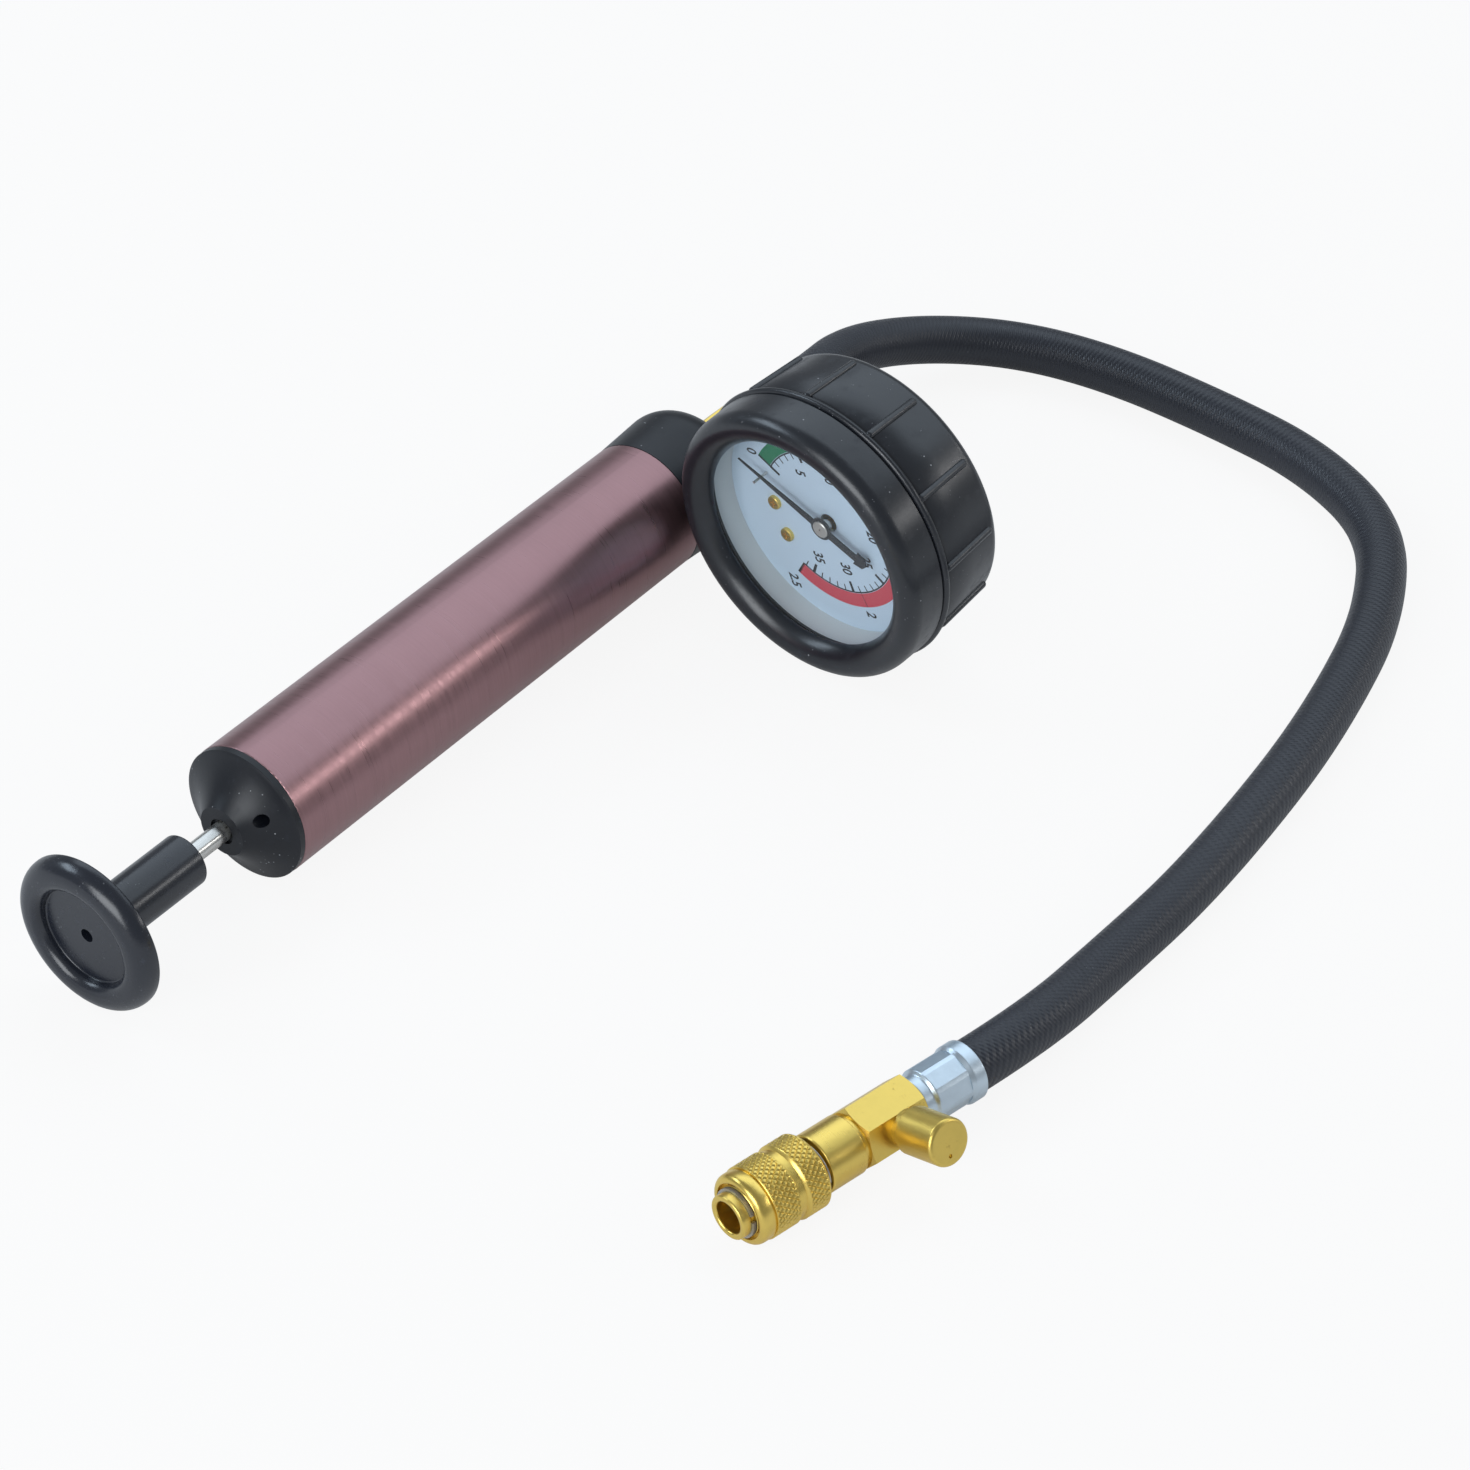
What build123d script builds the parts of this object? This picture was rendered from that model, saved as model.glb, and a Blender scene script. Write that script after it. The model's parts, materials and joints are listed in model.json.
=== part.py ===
from build123d import *
import math
import os

# Hand pump with a pressure gauge, a hose and a quick coupler, lying on its knob.
# All sizes in mm, z up, floor at z = 0.

# ---- pump barrel and handle ----
barrel_radius = 17.5
barrel_length = 149.4
barrel_wall = 1.5
knob_radius = 20.3
knob_front = -58.0
knob_back = -52.6
hub_radius = 6.7
hub_end = -21.8
rod_radius = 2.5
rod_wall = 0.6
stroke_in = 12.0
# ---- end cap and outlet ----
end_cap_length = 24.4
end_cap_flare = 1.4
outlet_flats = 16.0
# ---- gauge ----
boot_gap = 3.87
gauge_radius = 37.93
gauge_depth = 28.8
gauge_tilt = 18.45
gauge_lean = 5.61
gauge_turn = -3.8
stem_depth = 13.5
boot_wall = 3.63
lip_width = 8.73
dial_depth = 7.5
tip_gap = 1.3
pointer_rest = 38.0
# ---- hose and coupler ----
hose_radius = 6.43
hose_bore = 3.2
coupler_length = 70.8
block_flats = 14.0
socket_radius = 3.9
nose_wall = 1.5
collar_step = 1.9
sleeve_wall = 1.7
# ---- fits ----
plug_gap = 0.05
press_gap = 0.02
slide_gap = 0.1
free_gap = 0.3

os.makedirs("parts", exist_ok=True)

# ---- sizes that follow ----
bore_radius = barrel_radius - barrel_wall
end_cap_radius = barrel_radius + end_cap_flare
gauge_reach = gauge_radius + barrel_radius + boot_gap
flange_radius = gauge_radius + 0.67
flange_depth = 7.8
nose_radius = socket_radius + nose_wall
collar_radius = nose_radius + collar_step
sleeve_bore = collar_radius + slide_gap
sleeve_radius = sleeve_bore + sleeve_wall

# ---- layout ----
end_cap_face = barrel_length + end_cap_length
outlet_end = end_cap_face + 32.2
axis_height = knob_radius
port_x = barrel_length + 14.8


def unit(x, y, z):
    return Vector(x, y, z).normalized()


tilt = math.radians(gauge_tilt)
lean = math.radians(gauge_lean)
turn = math.radians(gauge_turn)
to_port = unit(math.sin(lean), math.cos(lean) * math.cos(tilt), -math.cos(lean) * math.sin(tilt))
along = unit(math.cos(lean), -math.sin(lean) * math.cos(tilt), math.sin(lean) * math.sin(tilt))
inward = along * math.cos(turn) + to_port.cross(along) * math.sin(turn)
sideways = inward.cross(to_port)
# The part's bounds centre on the origin in x and y.
gauge_low_y = (
    -to_port.Y * gauge_reach
    + inward.Y * (flange_depth - stem_depth)
    - flange_radius * math.sqrt(1 - inward.Y**2)
)
pump_x = -(knob_front + outlet_end) / 2
pump_y = -(gauge_low_y + knob_radius) / 2
pump_origin = Vector(pump_x, pump_y, axis_height)
port_centre = pump_origin + Vector(port_x, 0, 0)
gauge_centre = port_centre - to_port * gauge_reach - inward * stem_depth
coupler_end = Vector(pump_x + outlet_end - 166.7, pump_y - 177.2, sleeve_radius)
coupler_way = unit(-0.98, 0.1986, 0)

pump_section = Plane(origin=pump_origin, x_dir=(1, 0, 0), z_dir=(0, -1, 0))
pump_axis = Axis(pump_origin, (1, 0, 0))
gauge_section = Plane(origin=gauge_centre, x_dir=inward, z_dir=sideways)
gauge_axis = Axis(gauge_centre, inward)
coupler_section = Plane(
    origin=coupler_end, x_dir=coupler_way, z_dir=coupler_way.cross(Vector(0, 0, 1))
)
coupler_axis = Axis(coupler_end, coupler_way)


# ---- shared shapes ----
def pump_cross(x):
    """Plane square to the barrel at x behind its front rim."""
    return Plane(origin=pump_origin + Vector(x, 0, 0), x_dir=(0, 1, 0), z_dir=(1, 0, 0))


def dial_plane(depth, turn=0):
    """Plane across the gauge axis, a depth behind the case's front ring, with its x turned from the port."""
    swing = math.radians(turn)
    across = to_port * math.cos(swing) + sideways * math.sin(swing)
    return Plane(origin=gauge_centre + inward * depth, x_dir=across, z_dir=inward)


def stem_plane(distance):
    """Plane square to the gauge stem, at a distance from the gauge axis."""
    centre = gauge_centre + inward * stem_depth + to_port * distance
    return Plane(origin=centre, x_dir=inward, z_dir=to_port)


def coupler_cross(u):
    """Plane square to the coupler, local x along the release valve."""
    side = coupler_section.z_dir * -1
    rise = math.radians(20)
    valve_way = side * math.cos(rise) + Vector(0, 0, 1) * math.sin(rise)
    return Plane(origin=coupler_end + coupler_way * u, x_dir=valve_way, z_dir=coupler_way)


def face(section, *points):
    """Closed straight-sided profile, ready to be revolved."""
    with BuildSketch(section) as profile:
        with BuildLine():
            Polyline(*points, close=True)
        make_face()
    return profile.sketch


def soft_face(section, points, radii):
    """Closed profile with a rounding given for each corner."""
    with BuildSketch(section) as profile:
        with BuildLine():
            FilletPolyline(*points, radius=radii, close=True)
        make_face()
    return profile.sketch


def band(section, start, end, inner, outer):
    """Rectangle between two radii, ready to be revolved."""
    return face(section, (start, inner), (end, inner), (end, outer), (start, outer))


def disc_face(section, start, end, outer):
    return face(section, (start, 0), (end, 0), (end, outer), (start, outer))


def ring_section(section, x, centre_radius, wire_radius):
    """Round section of an O-ring."""
    with BuildSketch(section) as profile:
        with Locations((x, centre_radius)):
            Circle(wire_radius)
    return profile.sketch


def coil(start, way, length, turns, radius, wire_radius):
    """Round-wire coil spring between two planes, ends on the planes."""
    height = length - 2 * wire_radius
    with BuildPart() as spring:
        with BuildLine() as path:
            Helix(height / turns, height, radius, center=start + way * wire_radius, direction=way)
        with BuildSketch(Plane(origin=path.wire() @ 0, z_dir=path.wire() % 0)):
            Circle(wire_radius)
        sweep(path=path.wire(), is_frenet=True)
    return spring.part


def save(builder, name):
    builder.part.label = name
    export_step(builder.part, f"parts/{name}.step")


# ---- barrel ----
with BuildPart() as barrel_tube:
    revolve(
        soft_face(
            pump_section,
            [
                (0, bore_radius),
                (barrel_length, bore_radius),
                (barrel_length, barrel_radius),
                (0, barrel_radius),
            ],
            [0, 0, 0.3, 0.3],
        ),
        axis=pump_axis,
    )
save(barrel_tube, "barrel_tube")

# ---- front cap: a ribless cone with a boss round the rod and one vent ----
lip_length = 1.6
cap_skirt = 12.0
skirt_wall = 2.65
bush_radius = rod_radius + plug_gap + 1.65
bush_front = -8.5
bush_back = 3.0
boss_front = -9.5
boss_radius = bush_radius + 2.3
boss_root = bush_radius + 2.8
rod_mouth = rod_radius + 0.9
cone_rear = -lip_length - 0.3
cone_rim = barrel_radius - 0.7
cone_middle = ((boss_front + cone_rear) / 2 + 0.8, (boss_radius + cone_rim) / 2 - 0.25)
skirt_radius = bore_radius - plug_gap
vent_radius = 1.65
vent_spot = (-9.2, 5.2)
with BuildPart() as front_cap:
    with BuildSketch(pump_section):
        with BuildLine():
            Polyline((boss_front, rod_mouth), (boss_front, boss_radius))
            ThreePointArc((boss_front, boss_radius), cone_middle, (cone_rear, cone_rim))
            Polyline(
                (cone_rear, cone_rim),
                (-lip_length, barrel_radius - slide_gap),
                (0, barrel_radius - slide_gap),
                (0, skirt_radius),
                (cap_skirt, skirt_radius),
                (cap_skirt, skirt_radius - skirt_wall),
                (-1, skirt_radius - skirt_wall),
                (-1, boss_root),
                (bush_back, boss_root),
                (bush_back, bush_radius + press_gap),
                (bush_front, bush_radius + press_gap),
                (bush_front, rod_mouth),
                (boss_front, rod_mouth),
            )
        make_face()
    revolve(axis=pump_axis)
    with BuildSketch(pump_cross(boss_front)):
        with Locations(vent_spot):
            Circle(vent_radius)
    extrude(amount=cap_skirt, mode=Mode.SUBTRACT)
save(front_cap, "front_cap")

with BuildPart() as rod_bush:
    revolve(
        band(pump_section, bush_front, bush_back + 0.5, rod_radius + plug_gap, bush_radius), axis=pump_axis
    )
save(rod_bush, "rod_bush")

# ---- piston, behind the rod; the cup opens towards the outlet ----
spigot_front = barrel_length - 14.0
stud_end = spigot_front - stroke_in - 1.4
rod_end = stud_end - 14.0
stud_radius = 2.0
stud_shoulder = rod_radius + 0.7
stud_spigot = rod_radius - rod_wall - press_gap
washer_thickness = 2.0
washer_front = rod_end + 2.0
cup_front = washer_front + washer_thickness
cup_web_end = cup_front + 2.0
nut_front = cup_web_end + washer_thickness

with BuildPart() as piston_stud:
    revolve(
        face(
            pump_section,
            (rod_end - 10, 0),
            (rod_end - 10, stud_spigot),
            (rod_end, stud_spigot),
            (rod_end, stud_shoulder),
            (washer_front, stud_shoulder),
            (washer_front, stud_radius),
            (stud_end - 0.4, stud_radius),
            (stud_end, stud_radius - 0.4),
            (stud_end, 0),
        ),
        axis=pump_axis,
    )
save(piston_stud, "piston_stud")

with BuildPart() as piston_washer_front:
    revolve(
        band(pump_section, washer_front, cup_front, stud_radius + plug_gap, bore_radius - 2.5), axis=pump_axis
    )
save(piston_washer_front, "piston_washer_front")

cup_radius = bore_radius - free_gap
with BuildPart() as piston_cup:
    revolve(
        soft_face(
            pump_section,
            [
                (cup_front, stud_radius + plug_gap),
                (cup_web_end, stud_radius + plug_gap),
                (cup_web_end, cup_radius - 2.4),
                (cup_web_end + 5.5, cup_radius - 1.2),
                (cup_web_end + 5.5, cup_radius),
                (cup_front, cup_radius - 0.4),
            ],
            [0, 0, 1.0, 0.3, 0.2, 1.5],
        ),
        axis=pump_axis,
    )
save(piston_cup, "piston_cup")

with BuildPart() as piston_washer_rear:
    revolve(
        band(pump_section, cup_web_end, nut_front, stud_radius + plug_gap, bore_radius - 4.5), axis=pump_axis
    )
save(piston_washer_rear, "piston_washer_rear")

with BuildPart() as piston_nut:
    with BuildSketch(pump_cross(nut_front)):
        RegularPolygon(radius=3.5, side_count=6, major_radius=False)
        Circle(stud_radius + plug_gap, mode=Mode.SUBTRACT)
    extrude(amount=3.2)
save(piston_nut, "piston_nut")

# ---- rod: sheet rolled into a tube, its seam left open ----
rod_front = knob_front + 11.2
seam_gap = 0.35
with BuildPart() as pump_rod:
    with BuildSketch(pump_cross(rod_front)):
        Circle(rod_radius)
        Circle(rod_radius - rod_wall, mode=Mode.SUBTRACT)
        with Locations(Location((0, 0), 215)):
            with Locations((rod_radius, 0)):
                Rectangle(rod_radius, seam_gap, mode=Mode.SUBTRACT)
    extrude(amount=rod_end - rod_front)
save(pump_rod, "pump_rod")

# ---- knob: dished front, long hub pressed on the rod ----
dish_depth = 3.0
dish_radius = knob_radius - 7.7
knob_hole = 1.75
with BuildPart() as handle_knob:
    revolve(
        soft_face(
            pump_section,
            [
                (rod_front, knob_hole),
                (knob_front + dish_depth, knob_hole),
                (knob_front + dish_depth, dish_radius),
                (knob_front, dish_radius + 0.3),
                (knob_front, knob_radius),
                (knob_back, knob_radius),
                (knob_back + 1.2, hub_radius),
                (hub_end, hub_radius),
                (hub_end, rod_radius + press_gap),
                (rod_front, rod_radius + press_gap),
            ],
            [0, 0, 0.4, 2.5, 4.4, 0.6, 1.0, 0.5, 0, 0],
        ),
        axis=pump_axis,
    )
save(handle_knob, "handle_knob")

# ---- end cap: plug, check valve chamber, outlet thread and gauge port ----
spigot_radius = bore_radius - plug_gap
inlet_radius = 1.8
seat_x = spigot_front + 5.6
chamber_radius = 4.5
chamber_end = end_cap_face - 7.8
outlet_thread = 6.0
seal_x = seat_x - 0.5
port_thread = 4.9
port_face = end_cap_radius + 1.9
boss_outer = 7.5
port_bottom = 10.5
with BuildPart() as end_cap:
    revolve(
        soft_face(
            pump_section,
            [
                (spigot_front, inlet_radius),
                (spigot_front, spigot_radius),
                (seal_x - 1.0, spigot_radius),
                (seal_x - 1.0, bore_radius - 1.4),
                (seal_x + 1.0, bore_radius - 1.4),
                (seal_x + 1.0, spigot_radius),
                (barrel_length, spigot_radius),
                (barrel_length, barrel_radius),
                (end_cap_face, end_cap_radius),
                (end_cap_face, outlet_thread),
                (chamber_end, outlet_thread),
                (chamber_end, chamber_radius),
                (seat_x, chamber_radius),
                (seat_x, inlet_radius),
            ],
            [0, 0.4, 0, 0, 0, 0, 0, 0, 9.4, 0, 0, 0, 0, 0],
        ),
        axis=pump_axis,
    )
    with BuildSketch(Plane(origin=port_centre, x_dir=(1, 0, 0), z_dir=to_port * -1)):
        Circle(boss_outer)
        Circle(outlet_thread + 1, mode=Mode.SUBTRACT)
    extrude(amount=port_face)
    with BuildSketch(Plane(origin=port_centre - to_port * port_bottom, x_dir=(1, 0, 0), z_dir=to_port * -1)):
        Circle(outlet_thread + 1)
    extrude(amount=port_face - port_bottom)
    revolve(band(pump_section, seat_x, chamber_end, 0, chamber_radius), axis=pump_axis, mode=Mode.SUBTRACT)
    revolve(
        band(pump_section, chamber_end, end_cap_face, 0, outlet_thread), axis=pump_axis, mode=Mode.SUBTRACT
    )
    with BuildSketch(Plane(origin=port_centre - to_port * port_bottom, x_dir=(1, 0, 0), z_dir=to_port * -1)):
        Circle(port_thread)
    extrude(amount=port_face, mode=Mode.SUBTRACT)
    with BuildSketch(Plane(origin=port_centre, x_dir=(1, 0, 0), z_dir=to_port * -1)):
        Circle(1.5)
    extrude(amount=port_bottom, mode=Mode.SUBTRACT)
save(end_cap, "end_cap")

with BuildPart() as end_cap_seal:
    revolve(ring_section(pump_section, seal_x, bore_radius - 0.7, 0.66), axis=pump_axis)
save(end_cap_seal, "end_cap_seal")

# ---- check valve ----
ball_radius = 2.8
ball_lift = 1.5
ball_x = seat_x + math.sqrt(ball_radius**2 - inlet_radius**2) + plug_gap
spring_room = 6.5
retainer_x = ball_x + ball_radius + ball_lift + spring_room
with BuildPart() as check_ball:
    with Locations(pump_origin + Vector(ball_x, 0, 0)):
        Sphere(ball_radius)
save(check_ball, "check_ball")

with BuildPart() as valve_retainer:
    revolve(
        band(pump_section, retainer_x, retainer_x + 2, inlet_radius, chamber_radius - press_gap),
        axis=pump_axis,
    )
save(valve_retainer, "valve_retainer")

spring_start = ball_x + 1.95
with BuildPart() as check_spring:
    add(
        coil(
            pump_origin + Vector(spring_start, 0, 0),
            Vector(1, 0, 0),
            retainer_x - spring_start - plug_gap,
            5,
            2.2,
            0.25,
        )
    )
save(check_spring, "check_spring")

# ---- outlet washer, hexagon fitting with hose barb ----
hex_front = end_cap_face + 1.0
hex_length = 14.0
hex_back = hex_front + hex_length
barb_radius = hose_bore - plug_gap
barb_end = outlet_end - 2.0
fitting_bore = 2.0
with BuildPart() as outlet_washer:
    revolve(
        band(pump_section, end_cap_face, hex_front, outlet_thread + slide_gap, outlet_flats / 2 + 0.6),
        axis=pump_axis,
    )
save(outlet_washer, "outlet_washer")


def hex_limits(section, start, end, flats):
    """Turned outline that chamfers both ends of a hexagon."""
    corner = flats / math.sqrt(3) + 0.1
    edge = flats / 2 - 0.1
    fall = corner - edge
    return face(
        section,
        (start, 0),
        (start, edge),
        (start + fall * 0.5, corner),
        (end - fall * 0.5, corner),
        (end, edge),
        (end, 0),
    )


with BuildPart() as outlet_fitting:
    with BuildSketch(pump_cross(hex_front)):
        RegularPolygon(radius=outlet_flats / 2, side_count=6, major_radius=False, rotation=12)
    extrude(amount=hex_length)
    revolve(hex_limits(pump_section, hex_front, hex_back, outlet_flats), axis=pump_axis, mode=Mode.INTERSECT)
    revolve(disc_face(pump_section, chamber_end + 0.3, hex_front, outlet_thread - plug_gap), axis=pump_axis)
    revolve(disc_face(pump_section, hex_back, barb_end, barb_radius), axis=pump_axis)
    revolve(
        disc_face(pump_section, chamber_end, barb_end, fitting_bore), axis=pump_axis, mode=Mode.SUBTRACT
    )
save(outlet_fitting, "outlet_fitting")

# ---- crimped ferrules and the hose ends inside them ----
ferrule_length = 16.8
crimped_radius = hose_radius - 0.95
crimp_bore = crimped_radius + press_gap
crimp_outer = crimp_bore + 1.25
crimp_flats = 2 * (crimp_bore + 0.85)
neck_outer = crimp_bore + 0.45
mouth_bore = hose_radius + press_gap
mouth_outer = mouth_bore + 0.85
collar_lip = crimp_bore - 1.05
crimp_start = 3.4
crimp_end = ferrule_length - 4.2


def ferrule(section, axis, cross):
    """Crimped sleeve: collar at the fitting, eight flats, flared at the hose."""
    with BuildPart() as sleeve:
        revolve(
            soft_face(
                section,
                [
                    (0, collar_lip),
                    (0, neck_outer),
                    (crimp_start - 0.9, neck_outer),
                    (crimp_start - 0.2, crimp_outer),
                    (crimp_end, crimp_outer),
                    (crimp_end + 1.0, mouth_outer),
                    (ferrule_length, mouth_outer),
                    (ferrule_length, mouth_bore),
                    (crimp_end + 0.8, mouth_bore),
                    (crimp_end - 0.4, crimp_bore),
                    (1.0, crimp_bore),
                    (1.0, collar_lip),
                ],
                [0, 0.3, 0.5, 0.3, 0, 0.5, 0.3, 0, 0, 0, 0, 0],
            ),
            axis=axis,
        )
        with BuildSketch(cross):
            Circle(mouth_outer + 1)
            RegularPolygon(radius=crimp_flats / 2 + 0.1, side_count=8, major_radius=False, mode=Mode.SUBTRACT)
        extrude(amount=crimp_end - crimp_start, mode=Mode.SUBTRACT)
    return sleeve.part


outlet_section = Plane(
    origin=pump_origin + Vector(outlet_end - ferrule_length, 0, 0), x_dir=(1, 0, 0), z_dir=(0, -1, 0)
)
hose_way = coupler_way * -1
ferrule_seat = coupler_end + coupler_way * ferrule_length
coupler_hose_section = Plane(origin=ferrule_seat, x_dir=hose_way, z_dir=hose_way.cross(Vector(0, 0, 1)))
with BuildPart() as outlet_ferrule:
    add(ferrule(outlet_section, pump_axis, pump_cross(outlet_end - ferrule_length + crimp_start)))
save(outlet_ferrule, "outlet_ferrule")

coupler_crimp = Plane(origin=ferrule_seat + hose_way * crimp_start, x_dir=(0, 0, 1), z_dir=hose_way)
with BuildPart() as coupler_ferrule:
    add(ferrule(coupler_hose_section, coupler_axis, coupler_crimp))
save(coupler_ferrule, "coupler_ferrule")

with BuildPart() as hose_ends:
    for end_section, end_axis in ((outlet_section, pump_axis), (coupler_hose_section, coupler_axis)):
        revolve(
            face(
                end_section,
                (1.0 + press_gap, hose_bore),
                (1.0 + press_gap, crimped_radius),
                (crimp_end - 0.4 - press_gap, crimped_radius),
                (crimp_end + 0.8 + press_gap, hose_radius),
                (ferrule_length, hose_radius),
                (ferrule_length, hose_bore),
            ),
            axis=end_axis,
        )
save(hose_ends, "hose_ends")

# ---- hose: straight runs with an arc at each corner ----
hose_start = pump_origin + Vector(outlet_end, 0, 0)
lie = hose_radius - axis_height
hose_offsets = [
    (0, 0, 0),
    (14, 0, 0),
    (35, 3, -3.4),
    (58, -5, -9.3),
    (75.5, -24, lie + 1),
    (82.3, -50, lie),
    (82, -82, lie),
    (78.8, -115.6, lie),
    (63.8, -146, lie),
    (32, -163.6, lie),
    (-3, -172.6, lie),
    (-36.5, -178.2, lie),
    (-82, -182, lie),
    (-115, -181.2, lie),
]
hose_route = [hose_start + Vector(*offset) for offset in hose_offsets]
hose_route.append(coupler_end + hose_way * 22.1)
hose_route.append(coupler_end)


def corner_radii(route):
    """Arc radius at each corner: 0.45 of the shorter run over tan of half the turn."""
    radii = []
    for before, corner, after in zip(route, route[1:], route[2:]):
        into = corner - before
        out = after - corner
        half_turn = math.radians(into.get_angle(out)) / 2
        radii.append(0.45 * min(into.length, out.length) / math.tan(half_turn))
    return radii


hose_radii = corner_radii(hose_route)
print("hose bend radii:", [round(radius, 1) for radius in hose_radii])
with BuildPart() as hose:
    with BuildLine() as hose_line:
        FilletPolyline(*hose_route, radius=hose_radii)
    with BuildSketch(Plane(origin=hose_start, x_dir=(0, 1, 0), z_dir=(1, 0, 0))):
        Circle(hose_radius)
        Circle(hose_bore, mode=Mode.SUBTRACT)
    sweep(path=hose_line.wire())
print("hose length:", round(hose_line.wire().length, 1))
save(hose, "hose")

# ---- gauge boot: soft ring with a rolled lip, a flange and ribs ----
boot_bore = gauge_radius - boot_wall
window_radius = gauge_radius - lip_width
shell_radius = gauge_radius - 0.13
shell_rear = gauge_radius - 1.33
rear_window = window_radius - 0.2
boot_back = gauge_depth - 2.0
window_depth = -1.8
stem_hole = 8.0
rib_count = 12
rib_offset = 11.0
rib_start = 8.0
rib_end = gauge_depth - 4.0
rib_radius = 1.0
rib_sink = 0.3
shell_start = 9.5


def shell_line(depth):
    """Radius of the boot's tapered wall at a depth."""
    return shell_radius + (shell_rear - shell_radius) * (depth - shell_start) / (gauge_depth - shell_start)


def boot_plane(angle):
    """Plane through the gauge axis at an angle from the port."""
    swing = math.radians(angle)
    outward = to_port * math.cos(swing) + sideways * math.sin(swing)
    return Plane(origin=gauge_centre, x_dir=inward, z_dir=inward.cross(outward))


with BuildPart() as gauge_boot:
    revolve(
        soft_face(
            gauge_section,
            [
                (window_depth, boot_bore),
                (window_depth, window_radius),
                (-5.5, window_radius + 6.0),
                (-6.5, window_radius + 7.0),
                (-3.2, gauge_radius),
                (6.0, gauge_radius),
                (6.6, flange_radius),
                (9.0, flange_radius),
                (shell_start, shell_radius),
                (gauge_depth, shell_rear),
                (gauge_depth, rear_window),
                (boot_back, rear_window),
                (boot_back, boot_bore),
            ],
            [0, 0.3, 2.5, 0.7, 6.0, 0, 0.3, 0.3, 0, 3.1, 0.5, 0, 0],
        ),
        axis=gauge_axis,
    )
    for index in range(rib_count):
        rib_plane = boot_plane(rib_offset + index * 360 / rib_count)
        rib_near = rib_plane.from_local_coords(Vector(rib_start, shell_line(rib_start) - rib_sink, 0))
        rib_far = rib_plane.from_local_coords(Vector(rib_end, shell_line(rib_end) - rib_sink, 0))
        rib_way = (rib_far - rib_near).normalized()
        rib_length = (rib_far - rib_near).length + rib_radius
        rib_section = Plane(origin=rib_near, x_dir=rib_way, z_dir=rib_plane.z_dir)
        rib_points = [(0, 0), (0, rib_radius), (rib_length, rib_radius), (rib_length, 0)]
        revolve(soft_face(rib_section, rib_points, [0, 0, rib_radius - 0.1, 0]), axis=Axis(rib_near, rib_way))
    with BuildSketch(stem_plane(boot_bore - 2)):
        Circle(stem_hole)
    extrude(amount=10, mode=Mode.SUBTRACT)
save(gauge_boot, "gauge_boot")

# ---- case, bezel, lens and gasket ----
case_radius = boot_bore - free_gap
case_bore = case_radius - 1.2
case_front = 0.9
case_back = boot_back - free_gap
back_sheet = 1.2
lens_front = -1.7
lens_back = 0.3
lens_radius = case_bore - free_gap
plug_radius = 4.0
stem_radius = 5.0
with BuildPart() as gauge_case:
    revolve(
        soft_face(
            gauge_section,
            [
                (case_front, case_bore),
                (case_front, case_radius),
                (case_back, case_radius),
                (case_back, plug_radius),
                (case_back - back_sheet, plug_radius),
                (case_back - back_sheet, case_bore),
            ],
            [0, 0, 1.5, 0, 0, 0.6],
        ),
        axis=gauge_axis,
    )
    with BuildSketch(stem_plane(case_bore - 2)):
        Circle(stem_radius + slide_gap)
    extrude(amount=10, mode=Mode.SUBTRACT)
save(gauge_case, "gauge_case")

with BuildPart() as case_plug:
    revolve(
        disc_face(gauge_section, case_back - back_sheet, case_back + 0.6, plug_radius - press_gap),
        axis=gauge_axis,
    )
    revolve(disc_face(gauge_section, case_back, case_back + 0.6, plug_radius + 1.2), axis=gauge_axis)
save(case_plug, "case_plug")

with BuildPart() as gauge_bezel:
    revolve(
        band(gauge_section, lens_front - plug_gap, case_front, lens_radius + plug_gap, case_radius),
        axis=gauge_axis,
    )
save(gauge_bezel, "gauge_bezel")

with BuildPart() as gauge_lens:
    revolve(disc_face(gauge_section, lens_front, lens_back, lens_radius), axis=gauge_axis)
save(gauge_lens, "gauge_lens")

wall_radius = lens_radius - 0.9
with BuildPart() as lens_gasket:
    revolve(band(gauge_section, lens_back, case_front, wall_radius, lens_radius), axis=gauge_axis)
save(lens_gasket, "lens_gasket")

with BuildPart() as dial_wall:
    revolve(
        band(gauge_section, case_front, dial_depth, wall_radius, lens_radius + plug_gap), axis=gauge_axis
    )
save(dial_wall, "dial_wall")

# ---- dial, its screws and the pointer stop ----
pointer_front = 4.4
pointer_length = window_radius - tip_gap
dial_sheet = 0.8
dial_back = dial_depth + dial_sheet
dial_hole = 2.5
screw_ring = 17.5
screw_angles = (11.5, -19.5)
screw_radius = 1.2
stop_ring = 20.6
stop_radius = 0.35
pointer_root = 1.0
taper_width = 0.3
taper_start = pointer_length - 6
width_at_stop = pointer_root - (pointer_root - taper_width) * stop_ring / taper_start
stop_angle = pointer_rest - math.degrees((width_at_stop + stop_radius + plug_gap) / stop_ring)
stop_front = 2.6
head_radius = 1.9
head_height = 1.0


def polar(ring, angle):
    swing = math.radians(angle)
    return (ring * math.cos(swing), ring * math.sin(swing))


screw_spots = [polar(screw_ring, angle) for angle in screw_angles]
with BuildPart() as gauge_dial:
    with BuildSketch(dial_plane(dial_depth)):
        Circle(lens_radius)
        Circle(dial_hole, mode=Mode.SUBTRACT)
        with Locations(*screw_spots):
            Circle(screw_radius + plug_gap, mode=Mode.SUBTRACT)
        with Locations(polar(stop_ring, stop_angle)):
            Circle(stop_radius + press_gap, mode=Mode.SUBTRACT)
    extrude(amount=dial_sheet)
save(gauge_dial, "gauge_dial")

with BuildPart() as pointer_stop:
    with BuildSketch(dial_plane(stop_front)):
        with Locations(polar(stop_ring, stop_angle)):
            Circle(stop_radius)
    extrude(amount=dial_back - stop_front)
save(pointer_stop, "pointer_stop")

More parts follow.
